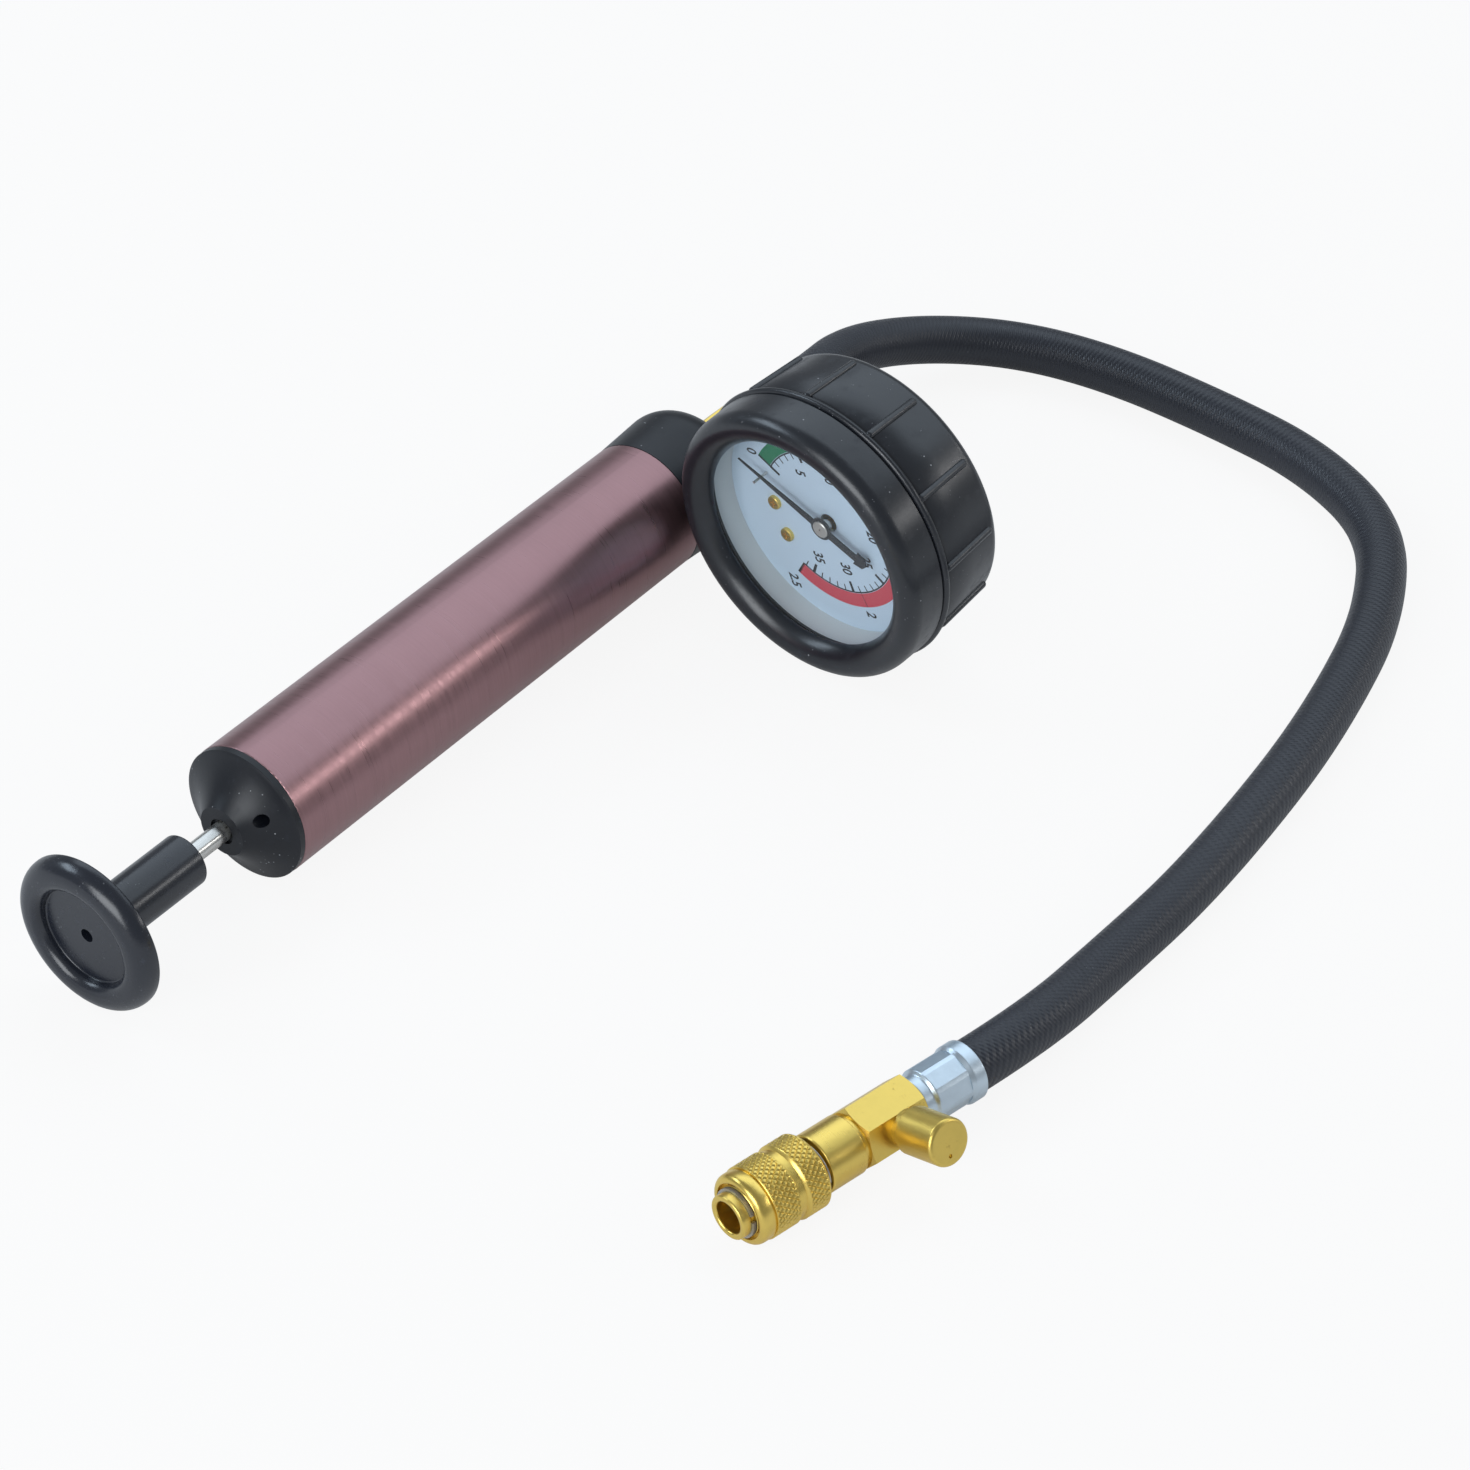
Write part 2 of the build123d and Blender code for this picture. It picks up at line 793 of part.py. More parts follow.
with BuildPart() as dial_screws:
    with BuildSketch(dial_plane(dial_depth - head_height)):
        with Locations(*screw_spots):
            Circle(head_radius)
    extrude(amount=head_height)
    fillet(dial_screws.faces().sort_by(gauge_axis)[:2].edges(), 0.35)
    with BuildSketch(dial_plane(dial_depth)):
        with Locations(*screw_spots):
            Circle(screw_radius)
    extrude(amount=5)
    for slot_angle in (20, 110):
        with BuildSketch(dial_plane(dial_depth - head_height)):
            with Locations(*[Location(spot, slot_angle) for spot in screw_spots]):
                SlotOverall(2.4, 0.5)
        extrude(amount=0.55, mode=Mode.SUBTRACT)
save(dial_screws, "dial_screws")

# ---- stem and socket block ----
stem_end = gauge_reach - port_bottom - slide_gap
boss_face = gauge_reach - port_face
block_near = 15.0
block_far = case_bore - 2.8
block_width = 16.0
block_front = stem_depth - 4.5
block_back = stem_depth + 4.5
ledge_near = 8.0
ledge_front = stem_depth + 1.5
tube_ring = case_bore - 8.3
tube_start = -20.4
with BuildPart() as gauge_stem:
    with BuildSketch(stem_plane(boss_face - slide_gap)):
        Circle(port_thread - plug_gap)
    extrude(amount=stem_end - boss_face + slide_gap)
    with BuildSketch(stem_plane(block_far - 1)):
        Circle(stem_radius)
    extrude(amount=boss_face - slide_gap - (block_far - 1))
    with BuildSketch(dial_plane(block_front)):
        with Locations(((block_near + block_far) / 2, 0)):
            Rectangle(block_far - block_near, block_width)
        with Locations(*screw_spots):
            Circle(screw_radius + plug_gap, mode=Mode.SUBTRACT)
    extrude(amount=block_back - block_front)
    with BuildSketch(dial_plane(ledge_front)):
        with Locations(((ledge_near + block_near) / 2, 0)):
            Rectangle(block_near - ledge_near, block_width)
    extrude(amount=block_back - ledge_front)
    revolve(
        band(boot_plane(tube_start), stem_depth - 3.5, stem_depth + 3.5, tube_ring - 2.5, tube_ring + 2.5),
        axis=gauge_axis,
        revolution_arc=8,
    )
    with BuildSketch(stem_plane(block_near + 4)):
        Circle(1.2)
    extrude(amount=stem_end, mode=Mode.SUBTRACT)
save(gauge_stem, "gauge_stem")

# ---- depths of the movement, from the dial back ----
plate_thickness = 0.8
front_plate = dial_back + 1.3
gear_front = front_plate + plate_thickness + 1.1
gear_back = gear_front + 1.5
link_front = gear_back + 0.3
rear_plate = gear_back + 1.2
arbor_end = rear_plate + plate_thickness - 0.2
arbor_radius = 0.8

# ---- Bourdon tube, a flattened C, and its tip ----
tube_sweep = 240.0
tip_angle = tube_start - tube_sweep
with BuildPart() as bourdon_tube:
    with BuildSketch(boot_plane(tip_angle)) as tube_section:
        with Locations((stem_depth, tube_ring)):
            SlotOverall(5.0, 2.4)
            SlotOverall(4.2, 1.6, mode=Mode.SUBTRACT)
    revolve(axis=gauge_axis, revolution_arc=tube_sweep)
save(bourdon_tube, "bourdon_tube")

link_ring = tube_ring - 4.0
link_pin = polar(link_ring, tip_angle - 4)
with BuildPart() as tube_tip:
    revolve(
        band(boot_plane(tip_angle - 8), stem_depth - 3, stem_depth + 3, tube_ring - 1.8, tube_ring + 1.8),
        axis=gauge_axis,
        revolution_arc=8,
    )
    with BuildSketch(dial_plane(link_front + 0.7)):
        with Locations(link_pin):
            Circle(1.6)
        with BuildLine():
            Polyline(
                polar(link_ring, tip_angle - 8),
                polar(link_ring, tip_angle - 1),
                polar(tube_ring - 1, tip_angle - 1),
                polar(tube_ring - 1, tip_angle - 7.5),
                close=True,
            )
        make_face()
    extrude(amount=1.0)
    with BuildSketch(dial_plane(link_front - 0.1)):
        with Locations(link_pin):
            Circle(0.5)
    extrude(amount=0.9)
save(tube_tip, "tube_tip")

# ---- movement: sector, pinion, plates and link ----
gear_module = 0.4
pinion_teeth = 12
sector_teeth = 84
pressure_angle = math.radians(20)
pinion_pitch = gear_module * pinion_teeth / 2
sector_pitch = gear_module * sector_teeth / 2
sector_spot = polar(pinion_pitch + sector_pitch, 200)
mesh_angle = 20.0
tooth_shave = 0.03


def involute(angle):
    return math.tan(angle) - angle


def tooth_points(pitch, tip, root, teeth, centre):
    """One involute tooth as points, from its right root to its left root."""
    base = pitch * math.cos(pressure_angle)
    half = math.pi / (2 * teeth) - tooth_shave / pitch + involute(pressure_angle)
    low = max(base, root)
    flank = [low + (tip - low) * step / 4 for step in range(5)]
    spread = [half - involute(math.acos(base / radius)) for radius in flank]
    right = [(root, -spread[0])] + [(radius, -angle) for radius, angle in zip(flank, spread)]
    left = [(radius, -angle) for radius, angle in reversed(right)]
    middle = math.radians(centre)
    outline = right + left if root < low - 0.001 else right[1:] + left[:-1]
    turned = [(radius, middle + angle) for radius, angle in outline]
    return [(radius * math.cos(angle), radius * math.sin(angle)) for radius, angle in turned]


def gear_outline(spot, pitch, tip, root, teeth, centres):
    points = []
    for centre in centres:
        points += tooth_points(pitch, tip, root, teeth, centre)
    return [(spot[0] + x, spot[1] + y) for x, y in points]


pinion_step = 360 / pinion_teeth
sector_step = 360 / sector_teeth
pinion_centres = [200 + index * pinion_step for index in range(pinion_teeth)]
sector_centres = [mesh_angle + (index - 1.5) * sector_step for index in range(14)]
pinion_outline = gear_outline(
    (0, 0), pinion_pitch, pinion_pitch + gear_module, pinion_pitch - gear_module, pinion_teeth, pinion_centres
)
sector_outline = gear_outline(
    sector_spot,
    sector_pitch,
    sector_pitch + 0.7 * gear_module,
    sector_pitch - 1.25 * gear_module,
    sector_teeth,
    sector_centres,
)
with BuildPart() as gauge_pinion:
    with BuildSketch(dial_plane(gear_front - 0.2)):
        with BuildLine():
            Polyline(*pinion_outline, close=True)
        make_face()
    extrude(amount=gear_back - gear_front + 0.4)
    revolve(disc_face(gauge_section, pointer_front + 0.1, arbor_end, arbor_radius), axis=gauge_axis)
save(gauge_pinion, "gauge_pinion")

tail_reach = 6.0
tail_angle = 110.0
with BuildPart() as sector_gear:
    with BuildSketch(dial_plane(gear_front)):
        with BuildLine():
            Polyline(sector_spot, *sector_outline, close=True)
        make_face()
        with Locations(sector_spot):
            Circle(2)
        with Locations(Location(sector_spot, tail_angle)):
            with Locations((tail_reach / 2, 0)):
                SlotOverall(tail_reach + 2.4, 2.4)
        with Locations(Location(sector_spot, mesh_angle + 5 * sector_step)):
            with Locations((10, 0)):
                SlotOverall(8, 4, rotation=90, mode=Mode.SUBTRACT)
    extrude(amount=gear_back - gear_front)
    with BuildSketch(dial_plane(front_plate + 0.2)):
        with Locations(sector_spot):
            Circle(arbor_radius)
    extrude(amount=arbor_end - front_plate - 0.2)
save(sector_gear, "sector_gear")

pillar_spots = [(5, 8), (5, -8), (-14.5, -14.5)]
plate_spots = pillar_spots + [sector_spot, (12, 5), (12, -5)]
with BuildPart() as movement_plates:
    for plate_front in (front_plate, rear_plate):
        with BuildSketch(dial_plane(plate_front)):
            with Locations(*plate_spots):
                Circle(2.2)
            make_hull()
            with Locations((0, 0), sector_spot):
                Circle(arbor_radius + plug_gap, mode=Mode.SUBTRACT)
        extrude(amount=plate_thickness)
save(movement_plates, "movement_plates")

with BuildPart() as movement_pillars:
    with BuildSketch(dial_plane(front_plate + plate_thickness)):
        with Locations(*pillar_spots):
            Circle(1.2)
    extrude(amount=rear_plate - front_plate - plate_thickness)
save(movement_pillars, "movement_pillars")

tail_spot = (
    sector_spot[0] + tail_reach * math.cos(math.radians(tail_angle)),
    sector_spot[1] + tail_reach * math.sin(math.radians(tail_angle)),
)
link_way = math.degrees(math.atan2(link_pin[1] - tail_spot[1], link_pin[0] - tail_spot[0]))
link_length = math.dist(link_pin, tail_spot)
with BuildPart() as gauge_link:
    with BuildSketch(dial_plane(link_front)):
        with Locations(Location(tail_spot, link_way)):
            with Locations((link_length / 2, 0)):
                SlotOverall(link_length + 2.4, 1.8)
        with Locations(link_pin):
            Circle(0.55, mode=Mode.SUBTRACT)
    extrude(amount=0.5)
    with BuildSketch(dial_plane(link_front - 0.2)):
        with Locations(tail_spot):
            Circle(0.5)
    extrude(amount=0.3)
save(gauge_link, "gauge_link")

# ---- pointer: lance, round hub and arrow tail ----
pointer_thickness = 0.5
hub_disc = 3.1
with BuildPart() as gauge_pointer:
    with BuildSketch(dial_plane(pointer_front, pointer_rest)):
        with BuildLine():
            Polyline(
                (0, -pointer_root),
                (taper_start, -taper_width),
                (pointer_length, -0.08),
                (pointer_length, 0.08),
                (taper_start, taper_width),
                (0, pointer_root),
                (-11.6, 1.0),
                (-11.4, 2.1),
                (-14.2, 1.5),
                (-15.0, 0),
                (-14.2, -1.5),
                (-11.4, -2.1),
                (-11.6, -1.0),
                close=True,
            )
        make_face()
        Circle(hub_disc)
        Circle(1.5 + press_gap, mode=Mode.SUBTRACT)
    extrude(amount=pointer_thickness)
save(gauge_pointer, "gauge_pointer")

with BuildPart() as pointer_hub:
    revolve(
        face(
            gauge_section,
            (4.3, 0.25),
            (4.3, arbor_radius + press_gap),
            (6.9, arbor_radius + press_gap),
            (6.9, 1.5),
            (pointer_front, 1.5),
            (pointer_front, 2.3),
            (4.15, 2.3),
            (4.0, 2.1),
            (4.0, 0.25),
        ),
        axis=gauge_axis,
    )
save(pointer_hub, "pointer_hub")

# ---- coupler body: collar, barrel, socket and poppet chamber, u from the hose end ----
block_front_u = 34.8
groove_end = 36.2
groove_radius = collar_radius - 0.9
collar_end = 46.3
seat_front = 54.0
seat_back = 56.0
seat_hole = 2.4
poppet_chamber = socket_radius - 0.2
chamber_start = 40.0
seal_groove = 57.0
seal_bore = socket_radius - 0.3
socket_floor = 65.0
ball_u = 63.0
lock_ball_radius = 1.2
lock_ball_ring = nose_radius + 0.08 - lock_ball_radius
lock_ball_count = 4
ring_groove = 67.6
ring_bottom = nose_radius - 0.4
spigot_start = 31.2
spigot_outer = 5.0
with BuildPart() as coupler_body:
    revolve(
        soft_face(
            coupler_section,
            [
                (spigot_start, fitting_bore),
                (spigot_start, spigot_outer),
                (block_front_u, spigot_outer),
                (block_front_u, groove_radius),
                (groove_end, groove_radius),
                (groove_end, collar_radius),
                (collar_end, collar_radius),
                (collar_end, nose_radius),
                (ring_groove, nose_radius),
                (ring_groove, ring_bottom),
                (ring_groove + 1.0, ring_bottom),
                (ring_groove + 1.0, nose_radius),
                (coupler_length, nose_radius),
                (coupler_length, socket_radius),
                (socket_floor, socket_radius),
                (socket_floor, seal_bore),
                (seal_groove + 1.6, seal_bore),
                (seal_groove + 1.6, seal_bore + 0.8),
                (seal_groove, seal_bore + 0.8),
                (seal_groove, seal_bore),
                (seat_back, seal_bore),
                (seat_back, seat_hole),
                (seat_front, seat_hole),
                (seat_front, poppet_chamber),
                (chamber_start, poppet_chamber),
                (chamber_start, fitting_bore),
            ],
            [0, 0, 0, 0, 0, 0.3, 0.5, 0, 0, 0, 0, 0, 0.5, 0.6] + [0] * 12,
        ),
        axis=coupler_axis,
    )
    for index in range(lock_ball_count):
        swing = math.radians(45 + index * 360 / lock_ball_count)
        frame = coupler_cross(ball_u)
        outward = frame.x_dir * math.cos(swing) + frame.y_dir * math.sin(swing)
        with BuildSketch(Plane(origin=frame.origin + outward * 3, z_dir=outward)):
            Circle(lock_ball_radius + 0.05)
        extrude(amount=4, mode=Mode.SUBTRACT)
save(coupler_body, "coupler_body")

with BuildPart() as locking_balls:
    with Locations(coupler_cross(ball_u)):
        with PolarLocations(lock_ball_ring, lock_ball_count, start_angle=45):
            Sphere(lock_ball_radius)
save(locking_balls, "locking_balls")

with BuildPart() as snap_ring:
    with BuildSketch(coupler_cross(ring_groove + 0.05)):
        Circle(nose_radius + 0.6)
        Circle(ring_bottom + press_gap, mode=Mode.SUBTRACT)
        with Locations((nose_radius + 0.1, 0)):
            Rectangle(2, 1.6, mode=Mode.SUBTRACT)
    extrude(amount=0.9)
save(snap_ring, "snap_ring")

# ---- sleeve: two grip bands, a shoulder over the balls ----
sleeve_start = 48.3
sleeve_front = 67.8
shoulder_start = 60.0
shoulder_end = ring_groove - 0.15
lip_outer = nose_radius + 0.75
recess_radius = nose_radius + 1.4
recess_floor = 66.2
grip_front = 65.0
front_grip_radius = sleeve_radius - 0.2
waist_radius = sleeve_radius - 0.75
front_radius = sleeve_radius - 0.5
shoulder_bore = lock_ball_ring + lock_ball_radius + plug_gap
with BuildPart() as coupler_sleeve:
    revolve(
        soft_face(
            coupler_section,
            [
                (sleeve_start, sleeve_bore),
                (sleeve_start, sleeve_radius - 0.8),
                (sleeve_start + 0.8, sleeve_radius),
                (54.6, sleeve_radius),
                (55.0, waist_radius),
                (56.7, waist_radius),
                (57.0, front_grip_radius),
                (grip_front, front_grip_radius),
                (grip_front + 0.15, front_radius - 0.2),
                (grip_front + 0.4, front_radius),
                (grip_front + 1.2, front_radius),
                (sleeve_front, front_radius - 1.15),
                (sleeve_front, recess_radius),
                (recess_floor, recess_radius),
                (recess_floor, lip_outer),
                (shoulder_end, lip_outer),
                (shoulder_end, shoulder_bore),
                (shoulder_start, shoulder_bore),
                (shoulder_start, sleeve_bore),
            ],
            [0.2, 0.3, 0.3, 0, 0, 0, 0, 0, 0, 0, 0.7, 0.4, 0.15, 0, 0, 0, 0.1, 0.3, 0],
        ),
        axis=coupler_axis,
    )
save(coupler_sleeve, "coupler_sleeve")

with BuildPart() as sleeve_spring:
    add(
        coil(
            coupler_end + coupler_way * (collar_end + plug_gap),
            coupler_way,
            shoulder_start - collar_end - 2 * plug_gap,
            6,
            (nose_radius + sleeve_bore) / 2,
            0.3,
        )
    )
save(sleeve_spring, "sleeve_spring")

with BuildPart() as socket_seal:
    revolve(ring_section(coupler_section, seal_groove + 0.8, seal_bore + 0.2, 0.55), axis=coupler_axis)
save(socket_seal, "socket_seal")

# ---- poppet valve in the socket ----
poppet_flange = 51.5
poppet_tail = 44.0
flange_outer = poppet_chamber - 0.5
seal_start = seat_front - 0.7
stem_outer = 1.6
with BuildPart() as coupler_poppet:
    revolve(
        soft_face(
            coupler_section,
            [
                (poppet_tail, 0),
                (poppet_tail, 1.2),
                (poppet_flange, 1.2),
                (poppet_flange, flange_outer),
                (seal_start, flange_outer),
                (seal_start, stem_outer),
                (60.0, stem_outer),
                (60.0, 0),
            ],
            [0, 0.3, 0, 0, 0, 0, 0.4, 0],
        ),
        axis=coupler_axis,
    )
save(coupler_poppet, "coupler_poppet")

with BuildPart() as poppet_seal:
    revolve(
        band(coupler_section, seal_start, seat_front - plug_gap, stem_outer + press_gap, flange_outer + 0.1),
        axis=coupler_axis,
    )
save(poppet_seal, "poppet_seal")

with BuildPart() as poppet_spring:
    add(
        coil(
            coupler_end + coupler_way * (chamber_start + 0.05),
            coupler_way,
            poppet_flange - chamber_start - 0.1,
            6,
            2.3,
            0.22,
        )
    )
save(poppet_spring, "poppet_spring")

# ---- valve block: hexagon bar with the hose barb and the release valve seat ----
block_start = ferrule_length + 0.5
valve_u = 24.3
valve_chamber = 2.6
valve_thread = 3.0
block_face = block_flats / 2
neck_bottom = 3.6
with BuildPart() as valve_block:
    with BuildSketch(coupler_cross(block_start)):
        RegularPolygon(radius=block_face, side_count=6, major_radius=False, rotation=30)
    extrude(amount=block_front_u - block_start)
    revolve(
        hex_limits(coupler_section, block_start, block_front_u, block_flats),
        axis=coupler_axis,
        mode=Mode.INTERSECT,
    )
    revolve(disc_face(coupler_section, 2.0, block_start, barb_radius), axis=coupler_axis)
    revolve(
        disc_face(coupler_section, 2.0, block_front_u, fitting_bore), axis=coupler_axis, mode=Mode.SUBTRACT
    )
    revolve(
        disc_face(coupler_section, spigot_start - slide_gap, block_front_u, spigot_outer + plug_gap),
        axis=coupler_axis,
        mode=Mode.SUBTRACT,
    )
    valve_way = coupler_cross(0).x_dir
    valve_root = coupler_end + coupler_way * valve_u
    with BuildSketch(Plane(origin=valve_root - valve_way * 0.6, x_dir=coupler_way, z_dir=valve_way)):
        Circle(valve_chamber)
    extrude(amount=neck_bottom + 0.6, mode=Mode.SUBTRACT)
    with BuildSketch(Plane(origin=valve_root + valve_way * neck_bottom, x_dir=coupler_way, z_dir=valve_way)):
        Circle(valve_thread + plug_gap)
    extrude(amount=block_flats, mode=Mode.SUBTRACT)
save(valve_block, "valve_block")

# ---- release valve: neck, sprung button, pin and seal ----
valve_section = Plane(origin=valve_root, x_dir=valve_way, z_dir=valve_way.cross(coupler_way))
valve_axis = Axis(valve_root, valve_way)
neck_radius = 4.3
neck_top = 14.0
button_radius = 5.6
button_bottom = 9.5
button_top = 21.4
button_roof = 19.4
button_bore = neck_radius + 0.25
pin_radius = 0.9
pit_radius = 0.5
pit_spot = (0.6, 3.0)
with BuildPart() as release_neck:
    revolve(
        soft_face(
            valve_section,
            [
                (neck_bottom + 0.05, pin_radius + 0.25),
                (neck_bottom + 0.05, valve_thread),
                (block_face, valve_thread),
                (block_face, neck_radius),
                (neck_top, neck_radius),
                (neck_top, pin_radius + 0.25),
            ],
            [0, 0, 0, 0, 0.4, 0],
        ),
        axis=valve_axis,
    )
save(release_neck, "release_neck")

with BuildPart() as release_button:
    revolve(
        soft_face(
            valve_section,
            [
                (button_bottom, button_bore),
                (button_bottom, button_radius),
                (button_top, button_radius),
                (button_top, 0),
                (button_roof, 0),
                (button_roof, button_bore),
            ],
            [0.2, 0.4, 0.9, 0, 0, 0.4],
        ),
        axis=valve_axis,
    )
    with BuildSketch(Plane(origin=valve_root + valve_way * button_top, x_dir=coupler_way, z_dir=valve_way)):
        with Locations(pit_spot):
            Circle(pit_radius)
    extrude(amount=-0.5, mode=Mode.SUBTRACT)
save(release_button, "release_button")

seal_bottom = 2.6
with BuildPart() as release_pin:
    revolve(disc_face(valve_section, seal_bottom - 0.4, button_roof, pin_radius), axis=valve_axis)
    revolve(disc_face(valve_section, seal_bottom - 0.4, seal_bottom, 1.5), axis=valve_axis)
save(release_pin, "release_pin")

with BuildPart() as release_seal:
    revolve(band(valve_section, seal_bottom, neck_bottom, pin_radius + press_gap, 1.9), axis=valve_axis)
save(release_seal, "release_seal")

with BuildPart() as release_spring:
    add(
        coil(
            valve_root + valve_way * (neck_top + 0.05),
            valve_way,
            button_roof - neck_top - 0.1,
            4,
            2.6,
            0.25,
        )
    )
save(release_spring, "release_spring")
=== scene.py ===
import json
import math

import bmesh
import bpy
from bpy.props import FloatProperty, FloatVectorProperty, PointerProperty
from mathutils import Matrix, Vector


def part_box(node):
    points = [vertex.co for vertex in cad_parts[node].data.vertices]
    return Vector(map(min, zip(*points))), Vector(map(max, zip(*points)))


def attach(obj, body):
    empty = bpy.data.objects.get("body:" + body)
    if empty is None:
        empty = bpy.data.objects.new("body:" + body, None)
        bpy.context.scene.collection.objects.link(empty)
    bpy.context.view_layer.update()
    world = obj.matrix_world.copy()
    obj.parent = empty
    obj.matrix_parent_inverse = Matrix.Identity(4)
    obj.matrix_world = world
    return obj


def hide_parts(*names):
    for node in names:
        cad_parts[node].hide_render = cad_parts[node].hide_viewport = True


bl_info = {
    "name": "Hand pressure pump",
    "version": (1, 0, 0),
    "blender": (4, 5, 0),
    "location": "3D View > Sidebar > Pump",
    "description": "Finishes, printed dial, hose and coupler details of a hand pressure pump",
    "category": "Object",
}

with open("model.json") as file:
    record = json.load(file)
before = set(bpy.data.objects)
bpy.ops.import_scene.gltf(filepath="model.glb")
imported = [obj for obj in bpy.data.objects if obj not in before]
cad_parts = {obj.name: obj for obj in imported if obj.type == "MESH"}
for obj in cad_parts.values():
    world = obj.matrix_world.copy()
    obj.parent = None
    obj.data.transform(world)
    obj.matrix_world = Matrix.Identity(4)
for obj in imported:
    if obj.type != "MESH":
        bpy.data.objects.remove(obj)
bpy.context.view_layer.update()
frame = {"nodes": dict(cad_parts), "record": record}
NODES = frame["nodes"]
JOINTS = {joint["name"]: joint for joint in frame["record"]["behaviour"]["joints"]}
MM = 0.001
WRAP_TURNS = 300.0  # turns of the cloth print along the hose
WRAP_STARTS = 10.0  # prints that run side by side round the hose

# ---- axes of the gauge and the coupler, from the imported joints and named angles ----
INWARD = Vector(JOINTS["pointer_turn"]["axis"]).normalized()
GAUGE_CENTRE = Vector(JOINTS["pointer_turn"]["pos_m"])
GAUGE_LEAN = math.radians(5.61)
GAUGE_TILT = math.radians(18.45)
TO_PORT = Vector(
    (
        math.sin(GAUGE_LEAN),
        math.cos(GAUGE_LEAN) * math.cos(GAUGE_TILT),
        -math.cos(GAUGE_LEAN) * math.sin(GAUGE_TILT),
    )
)
SIDEWAYS = INWARD.cross(TO_PORT)
COUPLER_WAY = -Vector(JOINTS["sleeve_pull"]["axis"]).normalized()
HOSE_ROUTE = (
    (0.132, 0.036888, 0.0203),
    (0.146, 0.036888, 0.0203),
    (0.167, 0.039888, 0.0169),
    (0.190, 0.031888, 0.0110),
    (0.2075, 0.012888, 0.00743),
    (0.2143, -0.013112, 0.00643),
    (0.214, -0.045112, 0.00643),
    (0.2108, -0.078712, 0.00643),
    (0.1958, -0.109112, 0.00643),
    (0.164, -0.126712, 0.00643),
    (0.129, -0.135712, 0.00643),
    (0.0955, -0.141312, 0.00643),
    (0.050, -0.145112, 0.00643),
    (0.017, -0.144312, 0.00643),
    (-0.013039, -0.144701, 0.0091),
    (-0.0347, -0.140312, 0.0091),
)
COUPLER_END = Vector(HOSE_ROUTE[-1])


# ---- values a user can change ----
def colour(name, description, default):
    return FloatVectorProperty(
        name=name, description=description, default=default, subtype="COLOR", size=3, min=0, max=1
    )


def length(name, description, default):
    return FloatProperty(
        name=name, description=description, default=default, unit="LENGTH", precision=5
    )


class PumpColours(bpy.types.PropertyGroup):
    """Colours of the pump's finishes"""

    tube: colour("Tube", "Anodised barrel tube", (0.335, 0.192, 0.20))
    plastic: colour("Plastic", "Moulded caps and knob", (0.012, 0.0145, 0.022))
    boot: colour("Boot", "Rubber boot round the gauge", (0.0095, 0.0115, 0.0165))
    hose: colour("Hose", "Rubber hose cover", (0.0135, 0.016, 0.025))
    brass: colour("Brass", "Machined brass", (0.88, 0.64, 0.16))
    zinc: colour("Zinc", "Blue zinc plating on the ferrules", (0.62, 0.72, 0.80))
    steel: colour("Steel", "Bright steel", (0.66, 0.65, 0.62))
    dial: colour("Dial", "Dial face", (0.56, 0.70, 0.83))
    dial_wall: colour("Dial wall", "Pale wall round the dial", (0.58, 0.62, 0.62))
    ink: colour("Ink", "Scale lines and numerals", (0.006, 0.008, 0.012))
    low_band: colour("Low band", "Green part of the scale", (0.0, 0.19, 0.08))
    high_band: colour("High band", "Red part of the scale", (0.62, 0.055, 0.085))


class PumpSizes(bpy.types.PropertyGroup):
    """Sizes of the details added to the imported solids"""

    hose_radius: length("Hose radius", "Outside radius of the hose", 0.00643)
    knurl_depth: length("Knurl depth", "Depth of the grooves in the grip bands", 0.00032)
    knurl_pitch: length("Knurl pitch", "Distance between two grooves", 0.00125)
    print_height: length("Print height", "Thickness of the printed scale", 0.00003)
    scale_radius: length("Scale radius", "Radius of the scale arc", 0.0202)
    band_width: length("Band width", "Width of the coloured bands", 0.0043)


def colours():
    return bpy.context.scene.pump_colours


def sizes():
    return bpy.context.scene.pump_sizes


# ---- shader building ----
class Wire:
    """A shader socket that takes part in Python arithmetic"""

    def __init__(self, finish, socket):
        self.finish = finish
        self.socket = socket

    def maths(self, operation, *values):
        return self.finish.node("ShaderNodeMath", {"operation": operation}, dict(enumerate(values)))

    def __add__(self, other):
        return self.maths("ADD", self, other)

    def __sub__(self, other):
        return self.maths("SUBTRACT", self, other)

    def __mul__(self, other):
        return self.maths("MULTIPLY", self, other)

    def __rsub__(self, other):
        return self.maths("SUBTRACT", other, self)

    __radd__ = __add__
    __rmul__ = __mul__

    def size(self):
        return self.maths("ABSOLUTE", self)

    def fraction(self):
        return self.maths("FRACT", self)

    def peak(self):
        """0 at both ends of a repeat and 1 in its middle"""
        return 1 - (self * 2 - 1).size()

    def ramp(self, low, high):
        """0 below low, 1 above high, and a smooth step between"""
        values = {"Value": self, "From Min": low, "From Max": high}
        return self.finish.node("ShaderNodeMapRange", {"interpolation_type": "SMOOTHSTEP"}, values)


